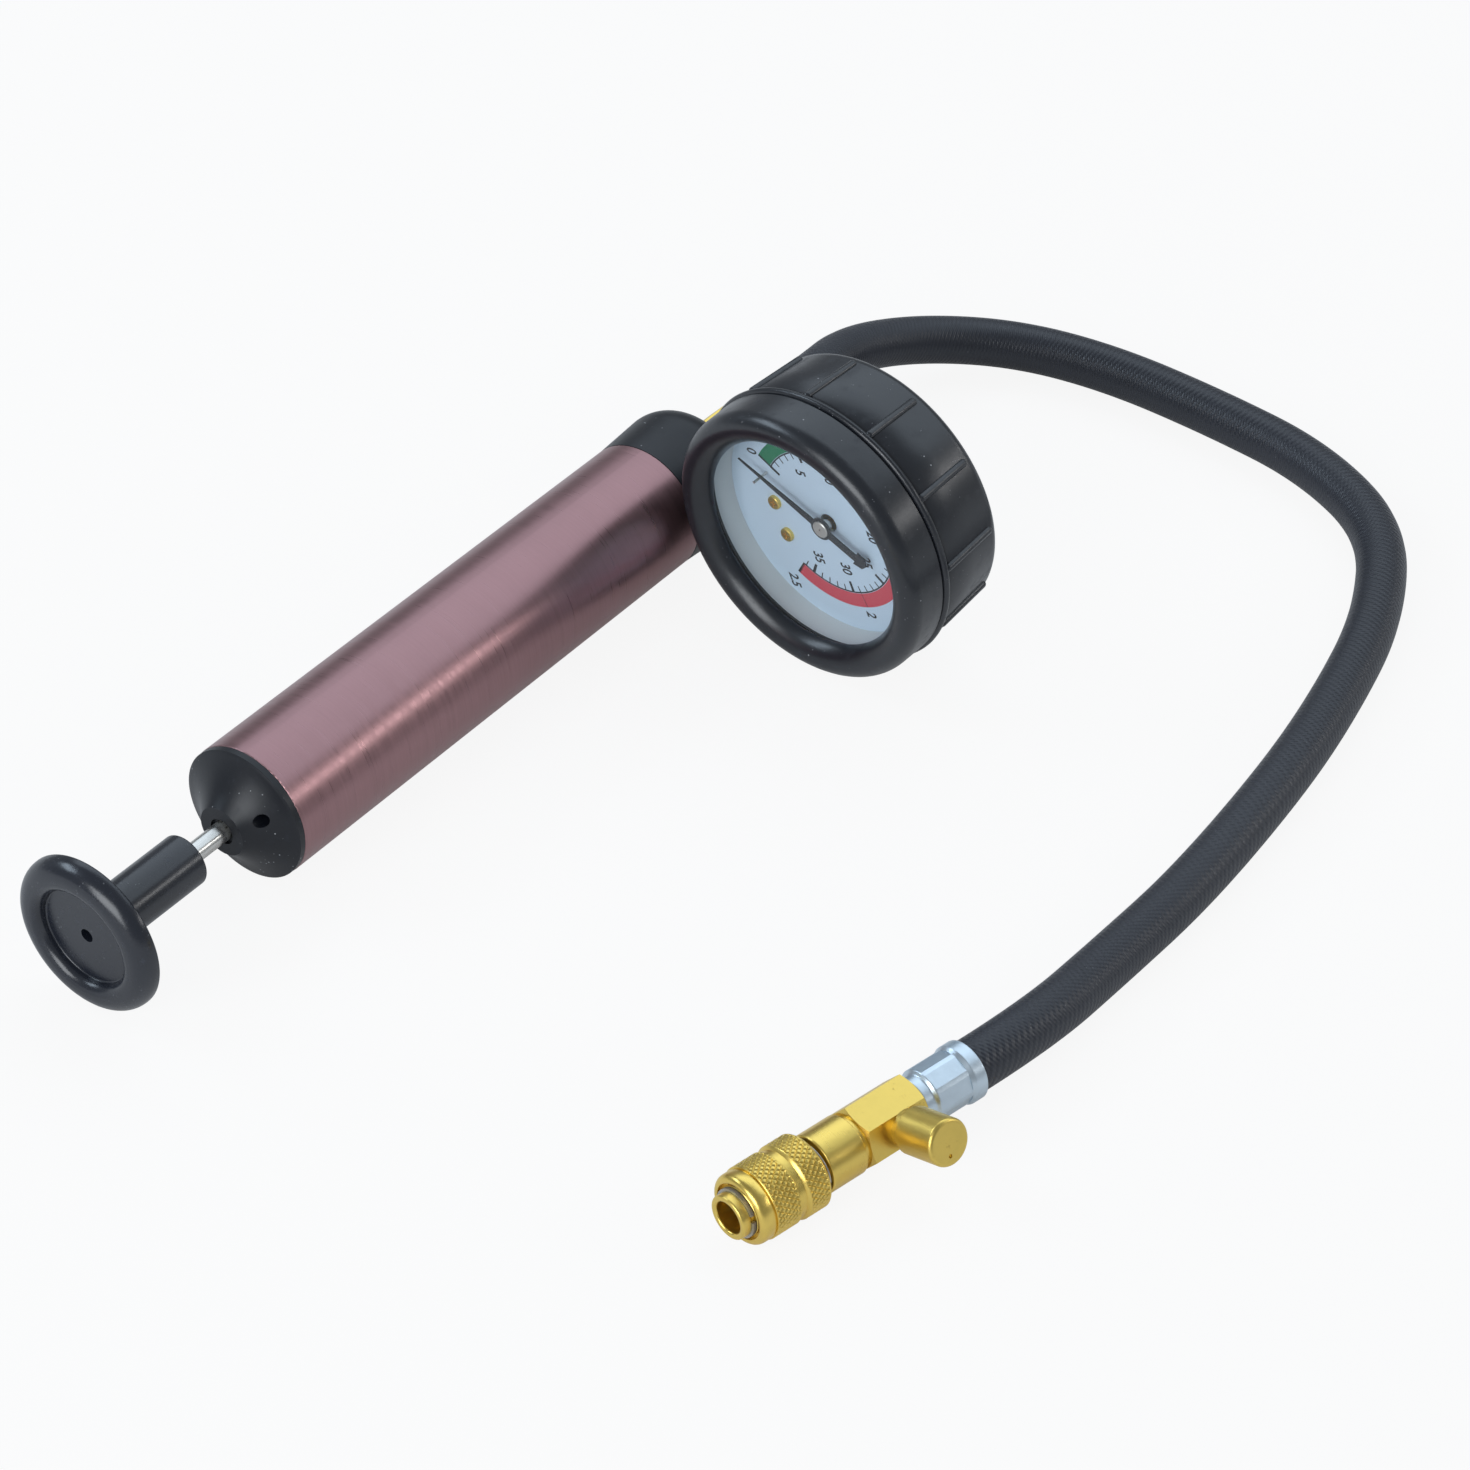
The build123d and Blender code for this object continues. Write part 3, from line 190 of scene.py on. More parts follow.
class Finish:
    """One procedural material built round a Principled shader"""

    def __init__(self, name):
        self.material = bpy.data.materials.new(name)
        self.material.use_nodes = True
        self.tree = self.material.node_tree
        self.shader = self.tree.nodes["Principled BSDF"]
        self.bump = None

    def node(self, kind, settings=None, values=None, output=0):
        made = self.tree.nodes.new(kind)
        for key, value in (settings or {}).items():
            if key == "stops":
                self.stops(made.color_ramp, value)
            else:
                setattr(made, key, value)
        for key, value in (values or {}).items():
            self.put(made.inputs[key], value)
        return Wire(self, made.outputs[output])

    def stops(self, ramp, stops):
        while len(ramp.elements) < len(stops):
            ramp.elements.new(0.5)
        for element, (position, tint) in zip(ramp.elements, stops):
            element.position = position
            element.color = (*tint, 1)

    def put(self, socket, value):
        if isinstance(value, Wire):
            self.tree.links.new(value.socket, socket)
        elif socket.type == "RGBA" and len(value) == 3:
            socket.default_value = (*value, 1)
        else:
            socket.default_value = value

    def set(self, **values):
        for key, value in values.items():
            self.put(self.shader.inputs[key.replace("_", " ").title().replace("Ior", "IOR")], value)
        return self

    def place(self):
        """Position on the part, in metres, which travels with the piece"""
        return self.node("ShaderNodeTexCoord", output="Object")

    def split(self, vector):
        made = self.node("ShaderNodeSeparateXYZ", values={0: vector})
        outputs = made.socket.node.outputs
        return [Wire(self, outputs[index]) for index in range(3)]

    def join(self, x, y, z):
        return self.node("ShaderNodeCombineXYZ", values={0: x, 1: y, 2: z})

    def along(self, vector, way):
        """Distance along a direction"""
        settings = {"operation": "DOT_PRODUCT"}
        return self.node("ShaderNodeVectorMath", settings, {0: vector, 1: way}, "Value")

    def shift(self, vector, amount):
        return self.node("ShaderNodeVectorMath", {"operation": "SUBTRACT"}, {0: vector, 1: amount})

    def noise(self, vector, scale, detail=3.0, roughness=0.5):
        values = {"Vector": vector, "Scale": scale, "Detail": detail, "Roughness": roughness}
        return self.node("ShaderNodeTexNoise", None, values, "Fac")

    def specks(self, vector, scale, size, seed):
        """Small round specks scattered over the surface, 1 inside a speck"""
        moved = self.shift(vector, (seed, seed * 0.7, seed * 0.3))
        cells = {"Vector": moved, "Scale": scale}
        distance = self.node("ShaderNodeTexVoronoi", None, cells, "Distance")
        chance = self.noise(moved, scale * 0.31, 1.0)
        return (1 - distance.ramp(size * 0.6, size)) * chance.ramp(0.60, 0.66)

    def mix(self, factor, first, second):
        settings = {"data_type": "RGBA"}
        return self.node("ShaderNodeMix", settings, {0: factor, 6: first, 7: second}, 2)

    def relief(self, height, distance, strength=1.0):
        """Bump from a height of 0 to 1 over a distance in metres"""
        values = {"Height": height, "Distance": distance, "Strength": strength}
        if self.bump:
            values["Normal"] = self.bump
        self.bump = self.node("ShaderNodeBump", None, values)
        self.put(self.shader.inputs["Normal"], self.bump)
        return self


def scaled(tint, factor):
    return tuple(min(1.0, channel * factor) for channel in tint)


def anodised_tube():
    """Satin rose-brown anodising with fine turning lines round the tube"""
    look = Finish("anodised_tube")
    place = look.place()
    x, y, z = look.split(place)
    lines = look.noise(look.join(x, y * 0.02, z * 0.02), 4200.0, 2.0, 0.7)
    brush = look.noise(look.join(x, y * 0.03, z * 0.03), 950.0, 4.0, 0.75)
    bands = look.noise(look.join(x, y * 0.1, z * 0.1), 120.0, 2.0)
    cloud = look.noise(place, 45.0, 3.0)
    tint = tuple(colours().tube)
    streak = cloud * 0.4 + brush.ramp(0.25, 0.75) * 0.6
    shade = look.mix(streak, scaled(tint, 0.88), scaled(tint, 1.12))
    look.set(
        base_color=shade,
        metallic=0.92,
        roughness=0.20 + lines * 0.10 + brush.ramp(0.3, 0.7) * 0.10 + bands * 0.05,
    )
    return look.relief(brush, 0.00003, 0.5).relief(lines, 0.000012, 0.5).material


def moulded_plastic(name, tint, roughness, dust, gloss=0.65):
    """Dark moulded plastic with a faint grain, scuffs and a little dust"""
    look = Finish(name)
    place = look.place()
    grain = look.noise(place, 2600.0, 2.0)
    cloud = look.noise(place, 110.0, 4.0, 0.6)
    scuff = look.noise(place, 420.0, 5.0, 0.7).ramp(0.56, 0.76)
    spots = look.specks(place, 900.0, 0.20, 0.013)
    worn = look.mix(scuff * 0.35, tint, scaled(tint, 3.5))
    dusty = look.mix(spots * dust, worn, (0.35, 0.36, 0.38))
    look.set(
        base_color=dusty,
        roughness=roughness + cloud * 0.10 + scuff * 0.12,
        specular_ior_level=gloss,
    )
    return look.relief(grain, 0.00002, 0.5).relief(cloud, 0.00012, 0.3).material


def moulded_rubber():
    """Semi-gloss black rubber with dust specks and faint flow marks"""
    look = Finish("boot_rubber")
    place = look.place()
    cloud = look.noise(place, 70.0, 3.0, 0.5)
    grain = look.noise(place, 2200.0, 2.0)
    smear = look.noise(place, 260.0, 5.0, 0.65).ramp(0.52, 0.72)
    spots = look.specks(place, 420.0, 0.10, 0.031) + look.specks(place, 1300.0, 0.16, 0.017) * 0.6
    tint = tuple(colours().boot)
    base = look.mix(smear * 0.25, tint, scaled(tint, 2.0))
    look.set(
        base_color=look.mix(spots * 0.8, base, (0.42, 0.43, 0.46)),
        roughness=0.25 + cloud * 0.08 + smear * 0.14,
        specular_ior_level=0.65,
    )
    return look.relief(cloud, 0.0004, 0.25).relief(grain, 0.000015, 0.5).material


def soft_rubber(name, tint):
    """Plain matt rubber for seals, cup and gasket"""
    look = Finish(name)
    place = look.place()
    grain = look.noise(place, 1800.0, 3.0)
    look.set(
        base_color=look.mix(grain, scaled(tint, 0.7), scaled(tint, 1.4)),
        roughness=0.6 + grain * 0.15,
    )
    return look.relief(grain, 0.00003, 0.6).material


def wrapped_hose():
    """Hose cover with the fine slanted print of the cloth it was cured in"""
    look = Finish("hose_cover")
    uv = look.node("ShaderNodeTexCoord", output="UV")
    run, turn, _ = look.split(uv)
    place = look.place()
    cloud = look.noise(place, 90.0, 3.0)
    wrap = (run * WRAP_TURNS + turn * WRAP_STARTS).fraction().peak()
    cross = (run * WRAP_TURNS * 1.9 - turn * WRAP_STARTS * 2.0).fraction().peak()
    cloth = wrap * 0.65 + cross * 0.35
    grain = look.noise(place, 1500.0, 3.0)
    smear = look.noise(place, 320.0, 5.0, 0.7).ramp(0.45, 0.75)
    spots = look.specks(place, 700.0, 0.11, 0.023)
    tint = tuple(colours().hose)
    base = look.mix(cloud * 0.5 + cloth * 0.5, scaled(tint, 0.75), scaled(tint, 1.3))
    look.set(
        base_color=look.mix(spots * 0.5, base, (0.22, 0.23, 0.25)),
        roughness=0.30 + cloth * 0.14 + cloud * 0.06 + smear * 0.08,
        specular_ior_level=0.6,
    )
    return look.relief(cloth, 0.00022, 0.6).relief(grain, 0.00003, 0.6).material


def machined_metal(name, tint, roughness, stain, way):
    """Turned metal: fine tool lines across an axis, soft stains and handling marks"""
    look = Finish(name)
    place = look.place()
    run = look.along(place, tuple(way))
    lines = look.noise(look.join(run, 0.0, 0.0), 7000.0, 2.0, 0.7)
    cloud = look.noise(place, 160.0, 4.0, 0.6)
    marks = look.noise(place, 420.0, 6.0, 0.7).ramp(0.60, 0.74)
    dull = look.mix(cloud * 0.8 + lines * 0.2, scaled(tint, 0.80), scaled(tint, 1.10))
    stained = look.mix(marks * stain, dull, (tint[0] * 0.34, tint[1] * 0.27, tint[2] * 0.3))
    look.set(
        base_color=stained,
        metallic=1.0,
        roughness=roughness + cloud * 0.12 + marks * 0.22 + lines * 0.07,
    )
    return look.relief(lines, 0.00002, 0.5).relief(cloud, 0.0001, 0.25).material


def plated_zinc():
    """Blue-white zinc plate, slightly mottled, with crimping rub marks"""
    look = Finish("zinc_plate")
    place = look.place()
    cloud = look.noise(place, 240.0, 4.0, 0.6)
    mottle = look.noise(place, 900.0, 3.0)
    tint = tuple(colours().zinc)
    look.set(
        base_color=look.mix(cloud, scaled(tint, 0.84), scaled(tint, 1.12)),
        metallic=0.92,
        roughness=0.22 + cloud * 0.12 + mottle * 0.12,
    )
    return look.relief(mottle, 0.00003, 0.5).relief(cloud, 0.0001, 0.25).material


def rolled_steel():
    """Bright rod with drawing lines along it and grease where it enters the cap"""
    look = Finish("rolled_rod")
    place = look.place()
    x, y, z = look.split(place)
    lines = look.noise(look.join(x * 0.03, y, z), 3200.0, 2.0, 0.7)
    cap_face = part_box("front_cap")[0].x
    cap_side = x.ramp(cap_face - 0.0016, cap_face + 0.0002)
    far_side = x.ramp(cap_face + 0.001, cap_face + 0.004)
    grease = cap_side * (1 - far_side)
    blotch = look.noise(place, 1100.0, 4.0, 0.7)
    dirt = grease * blotch.ramp(0.30, 0.62)
    tint = tuple(colours().steel)
    clean = look.mix(lines, scaled(tint, 0.85), scaled(tint, 1.1))
    look.set(
        base_color=look.mix(dirt, clean, (0.03, 0.028, 0.022)),
        metallic=1.0 - dirt * 0.8,
        roughness=0.20 + lines * 0.14 + dirt * 0.3,
    )
    return look.relief(lines, 0.00001, 0.5).material


def painted(name, tint, roughness):
    """Even paint or print with a light orange-peel surface"""
    look = Finish(name)
    place = look.place()
    peel = look.noise(place, 700.0, 2.0)
    cloud = look.noise(place, 45.0, 3.0)
    look.set(
        base_color=look.mix(cloud * 0.7 + peel * 0.3, scaled(tint, 0.96), scaled(tint, 1.03)),
        roughness=roughness + peel * 0.08,
    )
    return look.relief(peel, 0.00001, 0.4).material


def clear_lens():
    """Thin clear plastic, with faint dust so that it reads as a surface"""
    look = Finish("clear_lens")
    place = look.place()
    spots = look.specks(place, 600.0, 0.09, 0.041)
    haze = look.noise(place, 50.0, 3.0)
    look.set(
        base_color=(0.9, 0.93, 0.95),
        roughness=0.06 + haze * 0.05,
        alpha=0.02 + haze * 0.02 + spots * 0.2,
        ior=1.35,
    )
    look.material.surface_render_method = "BLENDED"
    return look.material


# ---- mesh helpers ----
def new_piece(name, mesh_points, faces, material, body):
    """Mesh object on a body, with one material"""
    mesh = bpy.data.meshes.new(name)
    mesh.from_pydata([tuple(point) for point in mesh_points], [], faces)
    mesh.validate()
    mesh.update()
    return dress(bpy.data.objects.new(name, mesh), material, body)


def dress(piece, material, body):
    bpy.context.scene.collection.objects.link(piece)
    piece.data.materials.clear()
    piece.data.materials.append(material)
    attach(piece, body)
    return piece


def finish_nodes(material, *names):
    """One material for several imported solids"""
    for name in names:
        slots = NODES[name].data.materials
        if len(slots) == 0:
            slots.append(material)
        for index in range(len(slots)):
            slots[index] = material


def dial_point(radius, angle, depth):
    """Point on the dial side: radius in metres, angle from the port in degrees"""
    swing = math.radians(angle)
    across = TO_PORT * math.cos(swing) + SIDEWAYS * math.sin(swing)
    return GAUGE_CENTRE + across * radius + INWARD * depth


def sector_plate(inner, outer, start, end, front, back, steps):
    """Closed thin plate between two radii and two angles, as points and faces"""
    points = []
    for index in range(steps + 1):
        angle = start + (end - start) * index / steps
        for radius, depth in ((inner, front), (outer, front), (outer, back), (inner, back)):
            points.append(dial_point(radius, angle, depth))
    faces = [(0, 1, 2, 3), tuple(4 * steps + corner for corner in (3, 2, 1, 0))]
    for index in range(steps):
        first = 4 * index
        for corner in range(4):
            follow = (corner + 1) % 4
            faces.append((first + corner, first + 4 + corner, first + 4 + follow, first + follow))
    return points, faces


def lathe(profile, origin, way, side, steps, relief=None):
    """Closed turned shell of (along, radius) rows in metres, less relief(along, radius, angle)"""
    up = way.cross(side)
    points = []
    for place, radius in profile:
        for step in range(steps):
            angle = math.tau * step / steps
            cut = relief(place, radius, angle) if relief else 0.0
            outward = side * math.cos(angle) + up * math.sin(angle)
            points.append(origin + way * place + outward * (radius - cut))
    count = len(profile)
    faces = []
    for row in range(count):
        following = (row + 1) % count
        for step in range(steps):
            after = (step + 1) % steps
            near = (row * steps + step, row * steps + after)
            far = (following * steps + after, following * steps + step)
            faces.append(near + far)
    return points, faces


def tidy_normals(mesh):
    """Turn every face outwards"""
    shape = bmesh.new()
    shape.from_mesh(mesh)
    bmesh.ops.recalc_face_normals(shape, faces=shape.faces)
    shape.to_mesh(mesh)
    shape.free()


def smooth(piece, angle):
    """Shade smoothly below an angle in degrees, and keep sharper edges"""
    mesh = piece.data
    mesh.shade_smooth()
    mesh.set_sharp_from_angle(angle=math.radians(angle))


# ---- operators ----
class PumpOperator(bpy.types.Operator):
    """Shared settings of the pump's operators"""

    bl_options = {"REGISTER", "UNDO"}


class PUMP_OT_barrel(PumpOperator):
    """Finish the barrel tube and the rod"""

    bl_idname = "pump.barrel"
    bl_label = "Barrel and rod"

    def execute(self, context):
        finish_nodes(anodised_tube(), "barrel_tube")
        finish_nodes(rolled_steel(), "pump_rod")
        return {"FINISHED"}


class PUMP_OT_plastics(PumpOperator):
    """Finish the two caps, the knob and the inner plastic pieces"""

    bl_idname = "pump.plastics"
    bl_label = "Caps and knob"

    def execute(self, context):
        tint = tuple(colours().plastic)
        cap = moulded_plastic("cap_plastic", scaled(tint, 0.55), 0.34, 1.0, 0.42)
        finish_nodes(cap, "front_cap", "end_cap")
        finish_nodes(moulded_plastic("knob_plastic", tint, 0.20, 0.25), "handle_knob")
        bush = moulded_plastic("bush_plastic", scaled(tint, 0.5), 0.5, 0.1)
        finish_nodes(bush, "rod_bush", "valve_retainer")
        finish_nodes(painted("fibre_washer", (0.22, 0.08, 0.045), 0.6), "outlet_washer")
        return {"FINISHED"}


# ---- boot: depths from the dial side and radii from the gauge's axis, in millimetres ----
SHELL_FRONT = Vector((9.5, 37.8))
BACK_DEPTH = 28.8
SHELL_REAR = Vector((BACK_DEPTH, 36.6))
BOOT_BORE = 34.3
BORE_BACK = 26.8
REAR_WINDOW = 29.0
LIP_DEPTH = -2.0
LIP_CREST = 34.2
LIP_HEIGHT = 4.45
LIP_OUTER = 37.93
LIP_FULLNESS = 1.35
BEAD_DEPTH = 6.9
REAR_ROUNDING = 3.1
RIB_COUNT = 12
RIB_OFFSET = 11.0
RIB_START = 8.2
RIB_STOP = 24.6
RIB_RADIUS = 1.1
RIB_SINK = 0.2
STEM_DEPTH = 13.5
STEM_REACH = 37.2
STEM_HOLE = 8.0
BOOT_STEPS = 180
BOOT_SMOOTHING = 38.0


def shell_line(depth):
    """Radius of the boot's tapered wall at a depth, both in millimetres"""
    part = (depth - SHELL_FRONT.x) / (SHELL_REAR.x - SHELL_FRONT.x)
    return SHELL_FRONT.y + (SHELL_REAR.y - SHELL_FRONT.y) * part


def bow(depth, radius, half_depth, half_radius, start, stop, steps):
    """Points on an arc of an ellipse, in degrees from the outward side towards the back"""
    points = []
    for step in range(steps + 1):
        turn = math.radians(start + (stop - start) * step / steps)
        points.append((depth + half_depth * math.sin(turn), radius + half_radius * math.cos(turn)))
    return points


class PUMP_OT_boot(PumpOperator):
    """Turn the rubber boot with its rolled lip, its bead and its rounded ribs"""

    bl_idname = "pump.boot"
    bl_label = "Gauge boot"

    def profile(self):
        """Lip, bead, tapered wall, rounded back and bore, one after the other"""
        rows = [(-1.8, BOOT_BORE), (-1.8, 29.4)]
        for step in range(12):
            turn = math.radians(7.5 * step)
            rise = LIP_HEIGHT * math.sin(turn) ** LIP_FULLNESS
            rows.append((LIP_DEPTH - rise, LIP_CREST - 4.9 * math.cos(turn)))
        rows += bow(LIP_DEPTH, LIP_CREST, LIP_HEIGHT, LIP_OUTER - LIP_CREST, 270, 360, 10)
        rows += [(5.3, LIP_OUTER), (5.6, 37.6), (5.9, 37.5)]
        rows += bow(BEAD_DEPTH, 37.6, 0.95, 1.05, -80, 80, 8)
        rows += [(7.9, 37.45), (8.3, 37.6), (8.7, shell_line(8.7)), (18.0, shell_line(18.0))]
        back = BACK_DEPTH - REAR_ROUNDING
        rows += bow(back, shell_line(back) - REAR_ROUNDING, REAR_ROUNDING, REAR_ROUNDING, 0, 90, 8)
        rows += [(BACK_DEPTH, 29.6), (28.65, 29.15), (28.3, REAR_WINDOW)]
        rows += [(BORE_BACK, REAR_WINDOW), (BORE_BACK, BOOT_BORE)]
        return [(depth * MM, radius * MM) for depth, radius in rows]

    def rib(self, ribs, angle):
        """Add one rounded bar along the wall, at an angle from the port"""
        near = dial_point((shell_line(RIB_START) - RIB_SINK) * MM, angle, RIB_START * MM)
        far = dial_point((shell_line(RIB_STOP) - RIB_SINK) * MM, angle, RIB_STOP * MM)
        bar = bmesh.new()
        bmesh.ops.create_uvsphere(bar, u_segments=20, v_segments=16, radius=RIB_RADIUS * MM)
        for corner in bar.verts:
            if corner.co.z > 0.01 * MM:
                corner.co.z += (far - near).length
        self.stand(bar, near, far - near)
        mesh = self.mesh_of(bar, "rib")
        ribs.from_mesh(mesh)
        bpy.data.meshes.remove(mesh)

    def stand(self, shape, place, way):
        """Turn a shape's height along a way and move it to a place"""
        turn = way.to_track_quat("Z", "Y").to_matrix().to_4x4()
        bmesh.ops.transform(shape, matrix=Matrix.Translation(place) @ turn, verts=shape.verts)

    def mesh_of(self, shape, name):
        mesh = bpy.data.meshes.new(name)
        shape.to_mesh(mesh)
        shape.free()
        return mesh

    def joined(self, body, tool, operation):
        """Mesh of a body after a union with, or a cut by, another mesh"""
        pieces = [bpy.data.objects.new("boot_stock", mesh) for mesh in (body, tool)]
        for piece in pieces:
            bpy.context.scene.collection.objects.link(piece)
        change = pieces[0].modifiers.new("join", "BOOLEAN")
        change.operation = operation
        change.solver = "EXACT"
        change.object = pieces[1]
        bpy.context.view_layer.update()
        graph = bpy.context.evaluated_depsgraph_get()
        mesh = bpy.data.meshes.new_from_object(pieces[0].evaluated_get(graph))
        for piece in pieces:
            bpy.data.objects.remove(piece)
        return mesh

    def execute(self, context):
        points, faces = lathe(self.profile(), GAUGE_CENTRE, INWARD, TO_PORT, BOOT_STEPS)
        shell = bpy.data.meshes.new("boot_shell")
        shell.from_pydata([tuple(point) for point in points], [], faces)
        tidy_normals(shell)
        ribs = bmesh.new()
        for index in range(RIB_COUNT):
            self.rib(ribs, RIB_OFFSET + index * 360.0 / RIB_COUNT)
        hole = bmesh.new()
        radius = STEM_HOLE * MM
        bmesh.ops.create_cone(
            hole, cap_ends=True, segments=64, radius1=radius, radius2=radius, depth=10 * MM
        )
        centre = GAUGE_CENTRE + INWARD * (STEM_DEPTH * MM) + TO_PORT * (STEM_REACH * MM)
        self.stand(hole, centre, TO_PORT)
        ribbed = self.joined(shell, self.mesh_of(ribs, "boot_ribs"), "UNION")
        mesh = self.joined(ribbed, self.mesh_of(hole, "stem_hole"), "DIFFERENCE")
        mesh.name = "rubber_boot"
        piece = bpy.data.objects.new("rubber_boot", mesh)
        boot = dress(piece, moulded_rubber(), "pump")
        smooth(boot, BOOT_SMOOTHING)
        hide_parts("gauge_boot")
        return {"FINISHED"}


class PUMP_OT_rubber(PumpOperator):
    """Finish the seals and the plug of the case"""

    bl_idname = "pump.rubber"
    bl_label = "Seals"

    def execute(self, context):
        finish_nodes(
            soft_rubber("seal_rubber", (0.02, 0.02, 0.022)),
            "case_plug",
            "piston_cup",
            "end_cap_seal",
            "lens_gasket",
            "socket_seal",
            "poppet_seal",
            "release_seal",
        )
        return {"FINISHED"}


class PUMP_OT_metals(PumpOperator):
    """Finish the brass, the plated ferrules and the small steel pieces"""

    bl_idname = "pump.metals"
    bl_label = "Metals"

    def execute(self, context):
        brass = tuple(colours().brass)
        turned = machined_metal("turned_brass", brass, 0.20, 0.10, COUPLER_WAY)
        finish_nodes(turned, "coupler_body", "coupler_poppet", "release_pin")
        bar = machined_metal("bar_brass", scaled(brass, 0.95), 0.24, 0.55, COUPLER_WAY)
        finish_nodes(bar, "valve_block")
        valve_way = JOINTS["release_push"]["axis"]
        finish_nodes(
            machined_metal("button_brass", scaled(brass, 0.92), 0.27, 0.25, valve_way),
            "release_neck",
            "release_button",
        )
        finish_nodes(machined_metal("outlet_brass", brass, 0.24, 0.15, (1, 0, 0)), "outlet_fitting")
        finish_nodes(
            machined_metal("movement_brass", brass, 0.25, 0.10, INWARD),
            "dial_screws",
            "gauge_link",
            "tube_tip",
            "bourdon_tube",
            "gauge_stem",
            "gauge_pinion",
            "sector_gear",
            "movement_plates",
            "movement_pillars",
        )
        finish_nodes(plated_zinc(), "outlet_ferrule", "coupler_ferrule")
        steel = tuple(colours().steel)
        finish_nodes(
            machined_metal("turned_steel", steel, 0.24, 0.15, (1, 0, 0)),
            "piston_stud",
            "piston_washer_front",
            "piston_washer_rear",
            "piston_nut",
            "check_ball",
            "locking_balls",
        )
        ring = machined_metal("ring_steel", scaled(steel, 0.75), 0.42, 0.35, COUPLER_WAY)
        finish_nodes(ring, "snap_ring")
        wire = machined_metal("spring_wire", scaled(steel, 0.8), 0.28, 0.2, (0, 0, 1))
        finish_nodes(wire, "check_spring", "sleeve_spring", "poppet_spring", "release_spring")
        return {"FINISHED"}


class PUMP_OT_gauge(PumpOperator):
    """Finish the case, the lens, the dial face and the pointer"""

    bl_idname = "pump.gauge"
    bl_label = "Gauge"

    def execute(self, context):
        finish_nodes(painted("case_paint", (0.02, 0.021, 0.024), 0.35), "gauge_case", "gauge_bezel")
        finish_nodes(clear_lens(), "gauge_lens")
        finish_nodes(painted("dial_paint", tuple(colours().dial), 0.45), "gauge_dial")
        finish_nodes(painted("dial_wall_paint", tuple(colours().dial_wall), 0.5), "dial_wall")
        ink = tuple(colours().ink)
        finish_nodes(painted("pointer_paint", scaled(ink, 1.2), 0.38), "gauge_pointer")
        hub = machined_metal("hub_metal", tuple(colours().steel), 0.26, 0.2, INWARD)
        finish_nodes(hub, "pointer_hub", "pointer_stop")
        return {"FINISHED"}


# ---- printed scale: metres, and degrees from the port ----
DIAL_DEPTH = 0.0075
PRINT_GAP = 0.000004
ZERO_ANGLE = 44.3
DEGREES_PER_UNIT = 7.47
DEGREES_PER_OUTER = 108.35
INNER_STEP = 5
INNER_UNITS = 36
OUTER_STEPS = 5
OUTER_STEP = 0.5
OUTER_END = 2.5
LOW_END = 1.0
HIGH_START = 22.0
NUMERAL_HEIGHT = 0.0043
NUMERAL_SLANT = 0.18
NUMERAL_SPACING = 0.95
NUMERAL_WEIGHT = 0.00009
NUMERAL_SQUEEZE = 0.82
# value, radius of its middle in millimetres, and turn from its line in degrees
INNER_LABELS = (
    (5, 14.6, -9.0),
    (10, 14.7, -8.0),
    (15, 14.9, -7.0),
    (20, 14.2, -6.0),
    (25, 13.3, -3.0),
    (30, 13.2, -1.0),
    (35, 13.9, 0.0),
)
OUTER_LABELS = (
    ("0", 26.8, -2.0),
    ("0.5", 27.2, 0.0),
    ("1", 27.0, 0.0),
    ("1.5", 27.4, 0.0),
    ("2", 26.6, 0.0),
    ("2.5", 28.4, 0.0),
)


